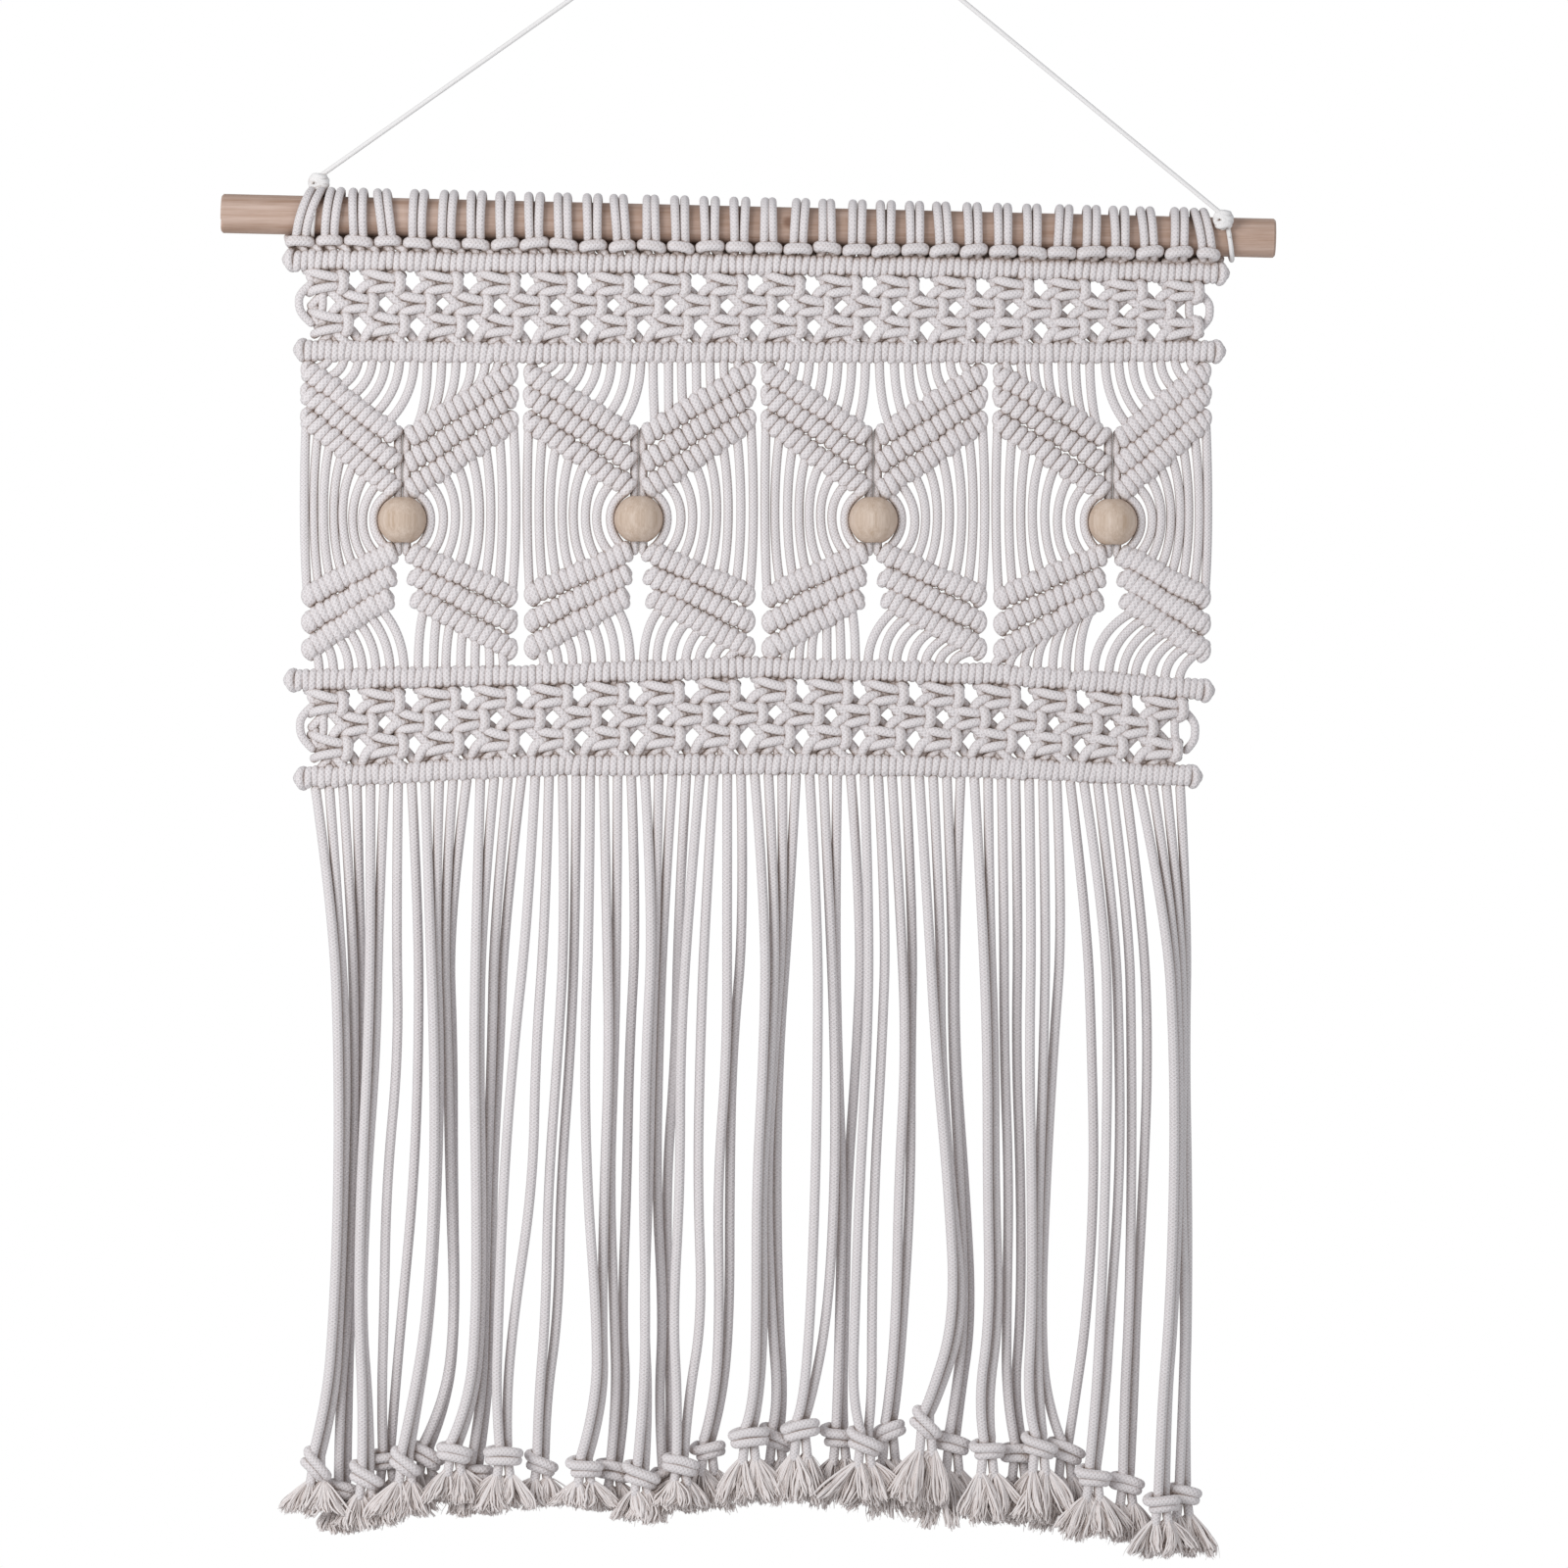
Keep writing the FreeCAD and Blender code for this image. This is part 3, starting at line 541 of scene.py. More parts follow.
# For each pair: which way its knot set, its slant in degrees and its size.
KNOTS = [(1, -38, 1.0), (0, -8, 0.9), (1, -20, 1.0), (1, 16, 1.0), (1, -28, 0.95), (0, -24, 1.0),
         (0, -6, 0.9), (0, 8, 0.95), (0, 4, 1.0), (1, -12, 0.9), (1, 8, 0.95), (0, -6, 1.05),
         (1, -10, 1.05), (1, 34, 0.85), (0, -8, 0.95), (1, 24, 0.9), (0, 12, 1.05), (1, -14, 1.0),
         (0, 18, 1.0), (1, 4, 1.1), (1, -14, 1.05), (0, 28, 0.85), (1, -34, 1.0), (0, -10, 0.95),
         (1, 12, 0.9), (0, 4, 1.0), (1, -8, 1.0), (0, -16, 1.05), (1, 4, 0.95), (0, -10, 0.9),
         (1, 16, 0.95), (0, -4, 0.95)]


def neck_end(pair, side):
    """Where one strand's braid stops and its brush begins."""
    x, z, tip = FRINGE[pair][2]
    drop = z - 3.0 - tip
    return (x + side * 2.7, pair_depth(pair) + side * 0.6, z - 3.0 - drop * 0.30)


def overhand_knot(pair):
    """The knot's two wraps and its two necks."""
    x, z, _ = FRINGE[pair][2]
    kind, slant, size = KNOTS[pair]
    tilt = math.radians(slant)
    centre = (x, pair_depth(pair), z)
    along, up = (math.cos(tilt), 0, math.sin(tilt)), (-math.sin(tilt), 0, math.cos(tilt))
    parts = [tube(placed(line, metres([centre])[0], along, up, (size,) * 3), 0.002, 12)
             for line in OVERHANDS[kind]]
    for side in (LEFT, RIGHT):
        depth = side * LAYER_MM / 2
        route = [(x + side * 1.5, centre[1] + depth, z + 4.4),
                 (x + side * 1.3, centre[1] + depth * 0.7, z + 1.0),
                 (x + side * 1.8, centre[1] + side * 0.4, z - 3.0), neck_end(pair, side)]
        parts.append(tube(nurbs_line(metres(route), 5), 0.00195, 12))
    return [shade_cord_sides(t, 0.88) for t in parts]


# %% Frayed brushes
CLUMPS, LOCKS, LOOSE = 8, 17, 8
SHARES = np.array([0.0, 0.18, 0.42, 0.66, 0.86, 1.0])


def brush(pair, side):
    """The clumps of fine locks, and the loose fibres, below one neck."""
    neck = np.array(neck_end(pair, side)) + np.array([0, 0, 1.0])
    drop = neck[2] - FRINGE[pair][2][2]
    lean = side * 0.16 + math.radians(KNOTS[pair][1]) * 0.2 + rng.normal(0, 0.08)
    reach = 2.6 + 0.31 * drop
    parts = []
    for clump in range(CLUMPS):
        fan = mix(-1, 1, (clump + 0.5) / CLUMPS) + rng.normal(0, 0.18)
        deep, curl = rng.uniform(-1, 1), rng.normal(0, 1.8)
        clump_length = drop * rng.uniform(0.80, 1.03) * (1 - 0.12 * fan * fan)
        for i in range(LOCKS + LOOSE):
            lock = i < LOCKS
            off = rng.normal(0, 1.1 if lock else 1.7, 2)
            length = clump_length * rng.uniform(0.88, 1.0 if lock else 1.06)
            wobble = rng.uniform(-1.0, 1.0, (len(SHARES), 2))
            across = (1.2 * fan + (fan * reach + lean * length) * SHARES ** 0.85
                      + curl * SHARES ** 3 + off[0] * (0.3 + 0.9 * np.sin(2.3 * SHARES))
                      + wobble[:, 0] * SHARES)
            inward = (1.2 * deep + 3.4 * deep * SHARES + off[1] * (0.25 + 0.6 * SHARES)
                      + wobble[:, 1] * SHARES)
            route = neck + np.stack([across, inward, -length * SHARES], 1)
            line = nurbs_line(metres(route), 3)
            share = np.linspace(0, 1, len(line))
            width = rng.uniform(0.36, 0.66) if lock else rng.uniform(0.10, 0.20)
            shape = (0.9 + 0.2 * share) * (1 - 0.45 * share ** 8)
            around = 6 if lock else 4
            verts, faces, uv, _ = tube(line, width * MM * shape, around, 0.8)
            parts.append((verts, faces, uv, np.zeros(len(verts))))
    return parts


# %% Lay the fringe
strand_lengths = []
pair = 0
for bunch, count in enumerate(BUNCHES, 1):
    body = f"fringe_{bunch}"
    for pair in range(pair, pair + count):
        lines = {side: nurbs_line(fringe_route(pair, side), 10) for side in (LEFT, RIGHT)}
        first_pair = pair == sum(BUNCHES[:bunch - 1])
        right = piece(f"fringe_strand_{2 * pair + 2:02d}",
                      [shade_cord_sides(tube(lines[RIGHT], CORD_D / 2), 0.5)], COTTON, body)
        knot = piece(f"fringe_knot_{pair + 1:02d}", overhand_knot(pair), COTTON, body,
                     [f"fringe_{bunch}_ends"] if first_pair else ())
        frayed = piece(f"fringe_brush_{pair + 1:02d}", brush(pair, LEFT) + brush(pair, RIGHT),
                       FRAYED, body)
        left = piece(f"fringe_strand_{2 * pair + 1:02d}",
                     [shade_cord_sides(tube(lines[LEFT], CORD_D / 2), 0.5)], COTTON, body,
                     [f"fringe_{bunch}_strands"] if first_pair else ())
        fringe_route(pair, LEFT)[0]
        strand_lengths += [line_length(line) * 1000 for line in lines.values()]
    pair += 1
print(f"fringe: {len(strand_lengths)} strands of {min(strand_lengths):.0f} to "
      f"{max(strand_lengths):.0f} mm")

# %% [markdown]
# ## Lark's heads on the dowel
# Each cord is folded in half and hung on the dowel in a lark's head. Two strands go over
# the top side by side, and the fold lies across them in front as a short bar. The bars
# sit closer to the front towards the right, as the rows pull the loops round the dowel.

# %% Lark's heads
HEADS = 32
LOOP_X_MM = [-196.0 + 370.0 / (HEADS - 1) * i for i in range(HEADS)]
LOOP_R_MM, LOOP_CORD_R = 10.05, 0.00184
BAR_REACH_MM = 12.1
BAR_SWING_DEG = (30.0, 52.0)
# The last bar is short, so that it clears the hanging cord's knot when the panel swings.
LAST_BAR_HALF_MM = 3.4
# How far the two strands' tops stand to the right of their feet. The end loops are
# dragged inwards by the hanging cord.
CROWN_SHIFT_MM = {0: 7.0, 1: 2.6, 2: -0.4, 3: -2.8, 4: 0.8, 5: 1.2, 11: -1.6, 17: 1.5, 22: -1.4,
                  26: 1.3, 29: -1.8, 30: 0.4, 31: -3.8}


def larks_head(number):
    x, swing = LOOP_X_MM[number], math.radians(mix(*BAR_SWING_DEG, number / (HEADS - 1)))
    axis = (x, 0.0, dowel_z(x))
    parts = []
    polygon = LOOP_R_MM / math.cos(math.radians(22.5))
    for side in (LEFT, RIGHT):
        foot, crown = side * 1.80, side * rng.uniform(1.75, 2.15)
        sway = CROWN_SHIFT_MM.get(number, rng.uniform(-0.7, 0.7))
        route = []
        for turn in range(-70, 245, 45):
            angle = math.radians(turn)
            lift = (math.sin(angle) + 1) / 2
            route.append((x + mix(foot, crown + sway, lift ** 1.5), -math.cos(angle) * polygon,
                          axis[2] + math.sin(angle) * polygon))
        route.append((x + foot, PANEL_Y_MM + 1.0, axis[2] - BAR_REACH_MM + 0.8))
        leg_x = strand_x(1, 2 * number + (side == RIGHT))
        route.append((leg_x, PANEL_Y_MM - 0.6, row_height(1, x) + ROW_R_MM + 0.8))
        route.append((leg_x, PANEL_Y_MM, row_height(1, x) + ROW_R_MM - 2.0))
        parts.append(shade_cord_sides(tube(nurbs_line(metres(route), 5), LOOP_CORD_R, 12), 0.9))
        # The cord's way down behind the bar, which closes the gap to the next head.
        spare = [(x + side * 5.2, PANEL_Y_MM + 4.5, axis[2] - 9.0),
                 (x + side * 4.6, PANEL_Y_MM + 2.5, axis[2] - BAR_REACH_MM),
                 (leg_x + side * 1.6, PANEL_Y_MM + 2.0, row_height(1, x) + 1.0)]
        parts.append(shade_cord_sides(tube(nurbs_line(metres(spare), 4), LOOP_CORD_R, 10), 0.9))
    bar_z = axis[2] - math.cos(swing) * BAR_REACH_MM
    bar_y = -math.sin(swing) * BAR_REACH_MM
    tip, half = rng.uniform(-0.8, 0.8), rng.uniform(4.2, 5.0)
    bar_z += rng.uniform(-0.5, 0.5)
    if number == HEADS - 1:
        half = LAST_BAR_HALF_MM
    bar = [(x - half + 1, bar_y + 4.2, bar_z - 0.8 - tip), (x - half, bar_y + 0.3, bar_z - tip),
           (x, bar_y - 0.7, bar_z + 0.2), (x + half, bar_y + 0.3, bar_z + tip),
           (x + half - 1, bar_y + 4.2, bar_z - 0.8 + tip)]
    parts.append(shade_cord_sides(tube(nurbs_line(metres(bar), 6), 0.0022, 14), 0.87))
    return parts


heads = [part for i in range(HEADS) for part in larks_head(i)]
piece("larks_heads", heads, COTTON, "panel", ["larks_head_knots"])
print("lark's heads:", len(heads), "tubes")

# %% The hanging cord's knots
# A knot is five crossing turns of the thin cord, above a turn round the dowel. Each
# crossing turn has a tilt, a shift upwards and a share of the knot's width.
TURN_R_MM = 9.4
CROSSINGS = [(1.5, 1.3, 1.0), (-1.5, -1.1, 1.0), (0.5, 2.5, 0.75), (-0.6, -2.6, 0.8),
             (2.4, 0.1, 0.9)]


def hanger_knot(tie, turn_x, lean, width):
    """lean is how much further right a turn's lowest point is than its highest one."""
    foot_z = dowel_z(turn_x)
    parts = []
    ring = TURN_R_MM / math.cos(math.radians(22.5))
    route = []
    for turn in range(0, 406, 45):
        angle = math.radians(turn)
        route.append((turn_x - lean / 2 * math.sin(angle), -math.cos(angle) * ring,
                      foot_z + math.sin(angle) * ring))
    parts.append(tube(nurbs_line(metres(route), 5), HANGER_D / 2, 10))
    out = np.array([0, tie[1], tie[2] - foot_z])
    out /= np.linalg.norm(out)
    low = np.array([turn_x, 0, foot_z]) + out * TURN_R_MM
    middle = np.array(tie) - out * 2.4
    parts.append(tube(nurbs_line(metres([low, (low + middle) / 2, middle]), 4), HANGER_D / 2, 10))
    for tilt, shift, share in CROSSINGS:
        reach = width * share
        loop = [middle + np.array([-reach, 0.8, shift - 0.6 * tilt]),
                middle + np.array([-reach * 0.9, -2.0, shift + 1.2 * tilt]),
                middle + np.array([reach * 0.9, -2.0, shift - 1.2 * tilt]),
                middle + np.array([reach, 1.6, shift + 0.4 * tilt]),
                middle + np.array([-0.4, 2.0, shift + tilt])]
        parts.append(tube(nurbs_line(metres(loop), 5), HANGER_D * 0.58, 10))
    return [shade_cord_sides(p, 0.6) for p in parts]


piece("hanger_knot_l", hanger_knot(LEFT_TIE_MM, -190.2, -2.2, 3.4), HANGER_THREAD, "hanger",
      ["hanger_knot_left"])
piece("hanger_knot_r", hanger_knot(RIGHT_TIE_MM, 182.4, 3.4, 3.2), HANGER_THREAD, "hanger",
      ["hanger_knot_right"])

# %% [markdown]
# ## Half-hitch rows
# A row is tied on a holding cord that lies across the work. Each strand goes round it
# twice, so sixty-four strands make a hundred and twenty-eight wraps, close together like
# a coil. One wrap is drawn once and set down again and again with small changes in
# height and lean, because no two hitches are pulled equally tight. The holding cord's
# ends show as small round knobs at both sides.

# %% One wrap
WRAP_MM = [(0.9, 2.2, 0.0), (0.8, 2.2, 2.6), (0.2, -2.3, 2.9), (-0.2, -2.3, -2.9),
           (-0.8, 2.2, -2.6), (-0.9, 2.2, 0.0)]
WRAP = nurbs_line(metres(WRAP_MM), 5)


def wraps(start, end, count, cord_r, height=1.0, ends=(1.0, 1.0)):
    """A run of wraps between two points, both in millimetres."""
    start, end = np.array(start, float), np.array(end, float)
    along = (end - start) / np.linalg.norm(end - start)
    up = np.cross(along, [0.0, 1.0, 0.0])
    parts = []
    for i in range(count):
        share = (i + 0.5) / count
        grown = height * rng.uniform(0.94, 1.05)
        grown *= ends[0] if i == 0 else ends[1] if i == count - 1 else 1.0
        lean = math.radians(rng.normal(0, 3.5))
        tilted = math.cos(lean) * up + math.sin(lean) * along
        flow = math.cos(lean) * along - math.sin(lean) * up
        spot = start + (end - start) * share + up * rng.normal(0, 0.24)
        spot = spot + np.array([0, rng.normal(0, 0.12), 0])
        line = placed(WRAP, spot * MM, flow, tilted, (1, grown, grown))
        parts.append(tube(line, cord_r * rng.uniform(0.96, 1.04), 10))
    return [shade_cord_sides(part, 0.93) for part in parts]


# %% The four rows
BULB_R_MM = 3.3


def knob(x, z, side):
    """The holding cord's end: a short bar and a round bulb."""
    inner = nurbs_line(metres([(x - side * 1.0, PANEL_Y_MM + 1.0, z + 3.2),
                               (x + side * 0.6, PANEL_Y_MM - 2.6, z + 3.0),
                               (x + side * 0.4, PANEL_Y_MM - 2.6, z - 3.2),
                               (x - side * 1.0, PANEL_Y_MM + 1.0, z - 3.4)]), 5)
    share = np.linspace(-0.9, 0.995, 14)
    ball = np.array([(x + side * BULB_R_MM * s, PANEL_Y_MM, z + 0.3 * s) for s in share]) * MM
    girth = BULB_R_MM * MM * np.sqrt(1 - share ** 2)
    return [tube(inner, 0.0018, 12), shade_cord_sides(tube(ball, girth, 16, ends=(0, 0)), 0.8)]


for row, (left, right, _) in ROWS_MM.items():
    corners = [left + 2.5] + BORDERS_MM[1:-1] + [right - 2.5]
    parts = []
    for a, b in zip(corners, corners[1:]):
        parts += wraps((a, PANEL_Y_MM, row_height(row, a)), (b, PANEL_Y_MM, row_height(row, b)),
                       32, 0.00186)
    parts += knob(left + 0.8, row_height(row, left), LEFT)
    parts += knob(right - 0.8, row_height(row, right), RIGHT)
    piece(f"row_{row}", parts, COTTON, "panel",
          [f"half_hitch_row_{row}", f"carrier_cord_{row}"])
print("rows: 4 of", 128, "wraps")

# %% [markdown]
# ## Nets of square knots
# A square knot takes four strands. The two outer ones cross in front of the two inner
# ones, first from one side and then from the other, and an upright loop closes each
# knot at the right. All the knots face the same way. In the next row down the knots are
# set over by two strands, and that opens the holes of the net.

# %% One square knot
SQUARE_KNOT_MM = {
    "upper bar": (2.00, [(-9.4, 1.4, 4.8), (-7.0, -0.6, 4.2), (-3.6, -2.6, 3.1), (0.2, -3.0, 2.3),
                         (3.6, -2.2, 1.7), (6.2, 0.6, 1.2)]),
    "lower bar": (1.90, [(-8.0, 1.0, -4.0), (-6.2, -1.4, -3.1), (-2.8, -2.9, -2.4),
                         (0.6, -3.1, -1.8), (3.8, -2.0, -1.3), (6.0, 0.6, -0.8)]),
    "upright": (2.20, [(2.6, 1.4, 2.8), (4.8, -1.2, 3.7), (6.0, -3.1, 2.2), (6.2, -3.5, -0.2),
                       (5.9, -3.0, -2.4), (4.4, -0.8, -3.8), (2.6, 1.4, -3.2)]),
    "left hook": (2.05, [(-12.8, 0.8, -8.0), (-11.4, -1.2, -4.6), (-9.0, -2.1, -1.4),
                         (-5.6, -1.4, -0.2), (-2.6, 0.6, 0.4)]),
    "right lead": (2.00, [(-1.2, 0.4, -2.2), (1.2, -1.0, -3.6), (3.6, -1.4, -6.0),
                          (6.2, -0.8, -8.4), (8.6, 1.0, -9.6)]),
    "left lead": (2.00, [(0.4, 0.8, -2.4), (-2.2, 0.0, -4.2), (-4.6, 0.2, -6.8),
                         (-7.0, 1.2, -9.2)]),
    "middle": (2.30, [(-4.6, 0.8, 1.4), (0.0, 0.6, 0.0), (4.4, 0.8, -0.6)]),
    "left side": (2.00, [(-7.4, 1.2, 6.0), (-8.2, 0.8, 3.0), (-6.6, 0.8, 0.6), (-2.0, 1.4, -0.6)]),
    "back left": (2.00, [(-4.0, 1.8, -2.0), (-6.6, 2.0, -3.8), (-9.4, 1.6, -6.0),
                         (-12.0, 1.2, -8.0)]),
    "back right": (2.10, [(4.0, 1.4, 0.4), (7.4, 1.0, -1.8), (10.2, 1.0, -4.8), (12.8, 1.2, -8.2)]),
    "back upper": (1.80, [(6.6, 1.0, 3.4), (3.4, 3.0, 2.8), (-1.0, 3.4, 1.8), (-6.6, 1.6, 0.8)]),
    "back lower": (1.80, [(6.6, 1.0, -2.8), (3.0, 3.0, -2.6), (-1.4, 3.4, -1.6),
                          (-6.8, 1.6, -0.8)]),
}
# Strands that tie the first knots to the row above them, and the last ones to the row
# below, where there is no other knot to meet.
STRAPS_MM = {
    0: [[(x, 0.8, 1.0), (x * 1.1, 0.6, 4.0), (x * 1.2, 0.4, 7.5)] for x in (-4.4, -1.5, 1.5, 4.6)],
    2: [[(x, 0.8, -1.5), (x * 1.1, 0.6, -4.5), (x * 1.2, 0.4, -8.5)] for x in (-3.0, 0.4, 3.6)],
}
STRAPS = {level: [nurbs_line(metres(route), 4) for route in routes]
          for level, routes in STRAPS_MM.items()}
SQUARE_KNOT = {name: (radius * MM, nurbs_line(metres(route), 5))
               for name, (radius, route) in SQUARE_KNOT_MM.items()}
# How far the second level's two edge strands bow outwards, the outer one first.
EDGE_BOW_MM = {LEFT: (2.6, -1.6), RIGHT: (1.2, -1.6)}
# The leads go to the knots below on either side, so a knot at the work's edge lacks some.
LEADS = {LEFT: ["left hook", "back left", "left lead"], RIGHT: ["right lead", "back right"]}
NET_LEVELS = [0.25, 0.48, 0.71]
NETS = {"upper": (1, 2), "lower": (3, 4)}


def square_knot(x, z, size, level, left_out=()):
    """One square knot, a little different from its neighbours."""
    turn = math.radians(rng.normal(0, 2.0))
    along, up = (math.cos(turn), 0, math.sin(turn)), (-math.sin(turn), 0, math.cos(turn))
    grow = rng.uniform(0.96, 1.03)
    parts = []
    for name, (radius, line) in SQUARE_KNOT.items():
        if name in left_out:
            continue
        if level == 2 and name in LEADS[LEFT] + LEADS[RIGHT]:
            line = line * np.array([0.88, 1.0, 0.95])
        there = placed(line, np.array([x, PANEL_Y_MM, z]) * MM, along, up,
                       (grow, 1.0, grow * size))
        parts.append(shade_cord_sides(tube(there, radius, 10), 0.90))
    for line in STRAPS.get(level, []):
        there = placed(line, np.array([x, PANEL_Y_MM, z]) * MM, along, up, (grow, 1.0, size))
        parts.append(shade_cord_sides(tube(there, 0.00175, 10), 0.90))
    return parts


# %% The two nets
for net, (upper, lower) in NETS.items():
    for level, share in enumerate(NET_LEVELS):
        parts = []
        for first in range(2 if level == 1 else 0, 61, 4):
            x = mix(strand_x(upper, first + 1.5), strand_x(lower, first + 1.5), share)
            top, bottom = row_height(upper, x), row_height(lower, x)
            size = (top - bottom) / 36.0
            edge = LEADS[LEFT][:2] if first == 0 else LEADS[RIGHT] if first == 60 else ()
            parts += square_knot(x, mix(top, bottom, share), size, level, edge)
        nodes = [f"{net}_net_knots_{level + 1}"]
        if level == 1:
            for side, outer in ((LEFT, 0), (RIGHT, 63)):
                for inward in (0, 1):
                    x = strand_x(upper, outer - side * inward)
                    top, bottom = row_height(upper, x), row_height(lower, x)
                    bow = side * EDGE_BOW_MM[side][inward]
                    route = [(x - side * 2.5, PANEL_Y_MM, mix(top, bottom, 0.27)),
                             (x + bow * 0.8, PANEL_Y_MM - 1.0, mix(top, bottom, 0.37)),
                             (x + bow, PANEL_Y_MM - 1.0, mix(top, bottom, 0.50)),
                             (x + bow * 0.5, PANEL_Y_MM - 0.6, mix(top, bottom, 0.61)),
                             (x - side * 2.5, PANEL_Y_MM, mix(top, bottom, 0.70))]
                    parts.append(shade_cord_sides(tube(nurbs_line(metres(route), 6), 0.0017), 0.8))
            nodes.append(f"{net}_net_selvedges")
        piece(f"{net}_net_{level + 1}", parts, COTTON, "panel", nodes)
print("nets:", 2 * 47, "square knots")

# %% [markdown]
# ## Leaves and fans
# Between the second and third rows each motif has four half leaves. Each half leaf is
# three slanting rows of half hitches, tied close under one another. The strands that
# come out of one leaf fan down to the next, and the innermost ones bow round the bead.

# %% Leaf ribs
def rib_ends(motif, side, half, number):
    """(outer end, inner end) of one slanting row; number counts from the top."""
    border = BORDERS_MM[motif] if side == LEFT else BORDERS_MM[motif + 1]
    middle, bead_z = MIDDLES_MM[motif], BEAD_Z_MM[motif]
    if half == "upper":
        outer_x = border - side * [3.6, 3.4, 3.4][number]
        outer_z = row_height(2, border) - [8.4, 17.4, 27.6][number]
        inner_x = middle + side * [3.4, 3.2, 3.4][number]
        inner_z = bead_z + [34.4, 23.4, 12.6][number]
    else:
        outer_x = border - side * 3.8
        outer_z = bead_z - [31.0, 41.8, 52.6][number]
        inner_x = middle + side * [4.2, 4.9, 6.0][number]
        inner_z = bead_z - [13.4, 22.6, 31.8][number]
    return (outer_x, PANEL_Y_MM, outer_z), (inner_x, PANEL_Y_MM, inner_z)


def turn_loop(outer, side):
    """The holding cord's turn at the outer end of a slanting row."""
    x, y, z = outer
    route = [(x - side * 1.6, y + 0.6, z + 2.8), (x + side * 0.8, y - 1.2, z + 3.0),
             (x + side * 1.0, y - 1.6, z - 2.0), (x - side * 1.4, y + 0.6, z - 3.2)]
    return tube(nurbs_line(metres(route), 5), 0.00175, 12)


for motif in range(4):
    for half in ("upper", "lower"):
        parts = []
        for side in (LEFT, RIGHT):
            for number in range(3):
                outer, inner = rib_ends(motif, side, half, number)
                inner = tuple(toward(inner, outer, -1.2))
                ends = (outer, inner) if side == LEFT else (inner, outer)
                shrink = (0.86, 0.92) if side == LEFT else (0.92, 0.86)
                parts += wraps(*ends, 13, 0.00225, 0.97, shrink)
                parts.append(shade_cord_sides(turn_loop(outer, side), 0.86))
        piece(f"leaf_half_{half}_{motif + 1}", parts, COTTON, "panel",
              [f"leaf_{motif + 1}_{half}"])
print("leaves: 4 motifs of 12 slanting rows")


# %% Fans of strands
RIB_R_MM = 3.8
FAN_R = 0.00188


def strand_number(motif, side, place):
    """place counts 1 to 8 from the motif's border inwards."""
    return motif * 16 + place - 1 if side == LEFT else motif * 16 + 16 - place


def rib_point(ends, place, below, deep=0.0):
    """Where a strand meets a slanting row."""
    outer, inner = np.array(ends[0]), np.array(ends[1])
    run = inner - outer
    point = outer + run * (place - 1.25) / 7.3
    slope = run[2] / abs(run[0])
    reach = (RIB_R_MM - deep) * math.sqrt(1 + slope * slope)
    point[2] += -reach if below else reach
    return point


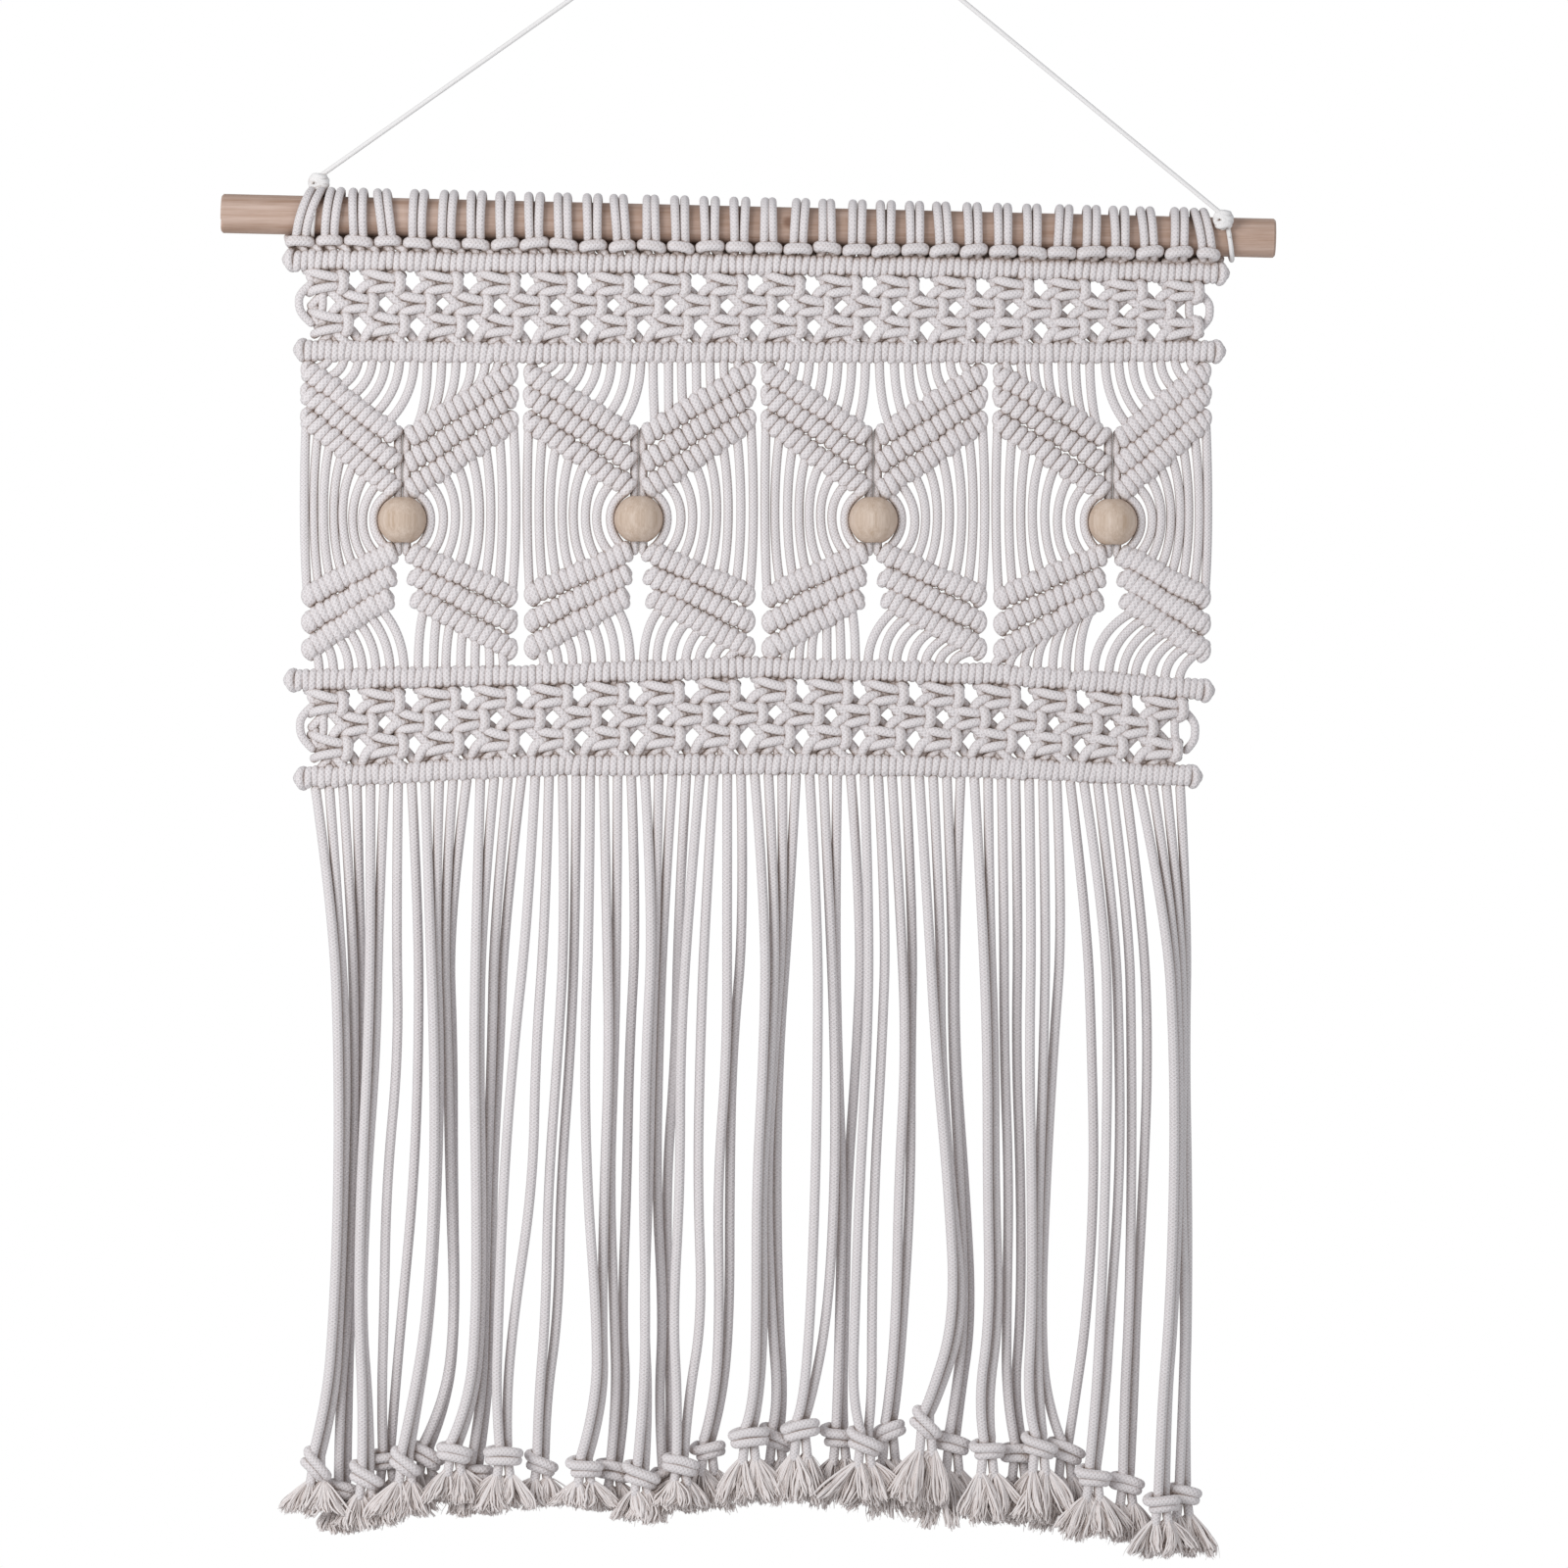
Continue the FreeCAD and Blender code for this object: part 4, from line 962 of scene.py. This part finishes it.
upper_fan, middle_fan, lower_fan = [], [], []
for motif in range(4):
    for side in (LEFT, RIGHT):
        border = BORDERS_MM[motif] if side == LEFT else BORDERS_MM[motif + 1]
        first = rib_ends(motif, side, "upper", 0)
        last = rib_ends(motif, side, "lower", 2)
        for place in range(2, 9):
            x = strand_x(2, strand_number(motif, side, place)) + rng.uniform(-0.4, 0.4)
            top = np.array((x, PANEL_Y_MM, row_height(2, x) - 2.5))
            foot = rib_point(first, place, False, 1.2)
            gap = top[2] - foot[2]
            if gap > 3:
                foot[1] += rng.uniform(-0.5, 0.5)
                drop = np.array((x, PANEL_Y_MM - 0.8, top[2] - gap * rng.uniform(0.55, 0.68)))
                upper_fan.append(shade_cord_sides(tube(nurbs_line(metres([top, drop, foot]), 8), FAN_R), 0.5))
            x = strand_x(3, strand_number(motif, side, place)) + rng.uniform(-0.4, 0.4)
            foot = np.array((x, PANEL_Y_MM, row_height(3, x) + 2.5))
            top = rib_point(last, place, True, 1.2)
            gap = top[2] - foot[2]
            if gap > 3:
                rise = np.array((x, PANEL_Y_MM - 0.8, foot[2] + gap * rng.uniform(0.55, 0.68)))
                lower_fan.append(shade_cord_sides(tube(nurbs_line(metres([top, rise, foot]), 8), FAN_R), 0.5))
        for place in range(1, 9):
            top = rib_point(rib_ends(motif, side, "upper", 2), place + 0.2, True, 1.4)
            foot = rib_point(rib_ends(motif, side, "lower", 0), place + 0.2, False, 1.4)
            share = (place - 1) / 7
            x = MIDDLES_MM[motif] + side * mix(abs(border - MIDDLES_MM[motif]) - 2.4, 12.2, share)
            x += rng.uniform(-0.35, 0.35)
            lean = rng.uniform(-0.8, 0.8)
            depth = PANEL_Y_MM + rng.uniform(-0.7, 0.7)
            high, low = mix(top[2], foot[2], 0.22) + lean, mix(foot[2], top[2], 0.22) + lean
            if place == 8:
                x = MIDDLES_MM[motif] + side * 11.6
                high, low = BEAD_Z_MM[motif] + 7.0, BEAD_Z_MM[motif] - 6.5
            route = [top, (x, depth, high), (x, depth, low), foot]
            middle_fan.append(shade_cord_sides(tube(nurbs_line(metres(route), 8), FAN_R), 0.5))
piece("fan_upper", upper_fan, COTTON, "panel", ["strands_upper_fan"])
piece("fan_middle", middle_fan, COTTON, "panel", ["strands_middle_fan"])
piece("fan_lower", lower_fan, COTTON, "panel", ["strands_lower_fan"])
print("fans:", len(upper_fan), len(middle_fan), len(lower_fan), "strands")

# %% Cords in the beads
for motif in range(4):
    x, z = MIDDLES_MM[motif], BEAD_Z_MM[motif]
    parts = [shade_cord_sides(tube(nurbs_line(metres([(x + side * 1.8, PANEL_Y_MM + 1.4, z + 36),
                                          (x + side * 1.8, PANEL_Y_MM + 0.6, z + 14),
                                          (x + side * 1.8, PANEL_Y_MM, z),
                                          (x + side * 1.8, PANEL_Y_MM, z - 13)]), 4), 0.00175), 0.8)
             for side in (LEFT, RIGHT)]
    piece(f"bead_strands_{motif + 1}", parts, COTTON, "panel",
          [f"bead_cords_{motif + 1}"])

# %% [markdown]
# ## Dowel and beads
# These are hard and turned, so the solid model's own shapes stay, in bare wood. The
# dowel has a small dark knot near its middle, and its left end is split a little.

# %% Wood on the solid model
DOWEL_WOOD = bare_wood("peeled birch dowel", "#CBB2A4", "#A98A77", 0,
                       knots=[((0.003, -0.0078, -0.1500), 0.0030)])
BEAD_WOOD = bare_wood("turned beech bead", "#D6C4B5", "#B9A18C", 2, 0.0005)
for name, node in frame["nodes"].items():
    if name == "dowel" or name in ("bead_1", "bead_2", "bead_3", "bead_4"):
        node.data.materials.clear()
        node.data.materials.append(DOWEL_WOOD if name == "dowel" else BEAD_WOOD)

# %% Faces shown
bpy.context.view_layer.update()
faces = sum(len(o.data.polygons) for o in scene.objects if o.type == "MESH" and not o.hide_render)
print("faces shown:", faces)
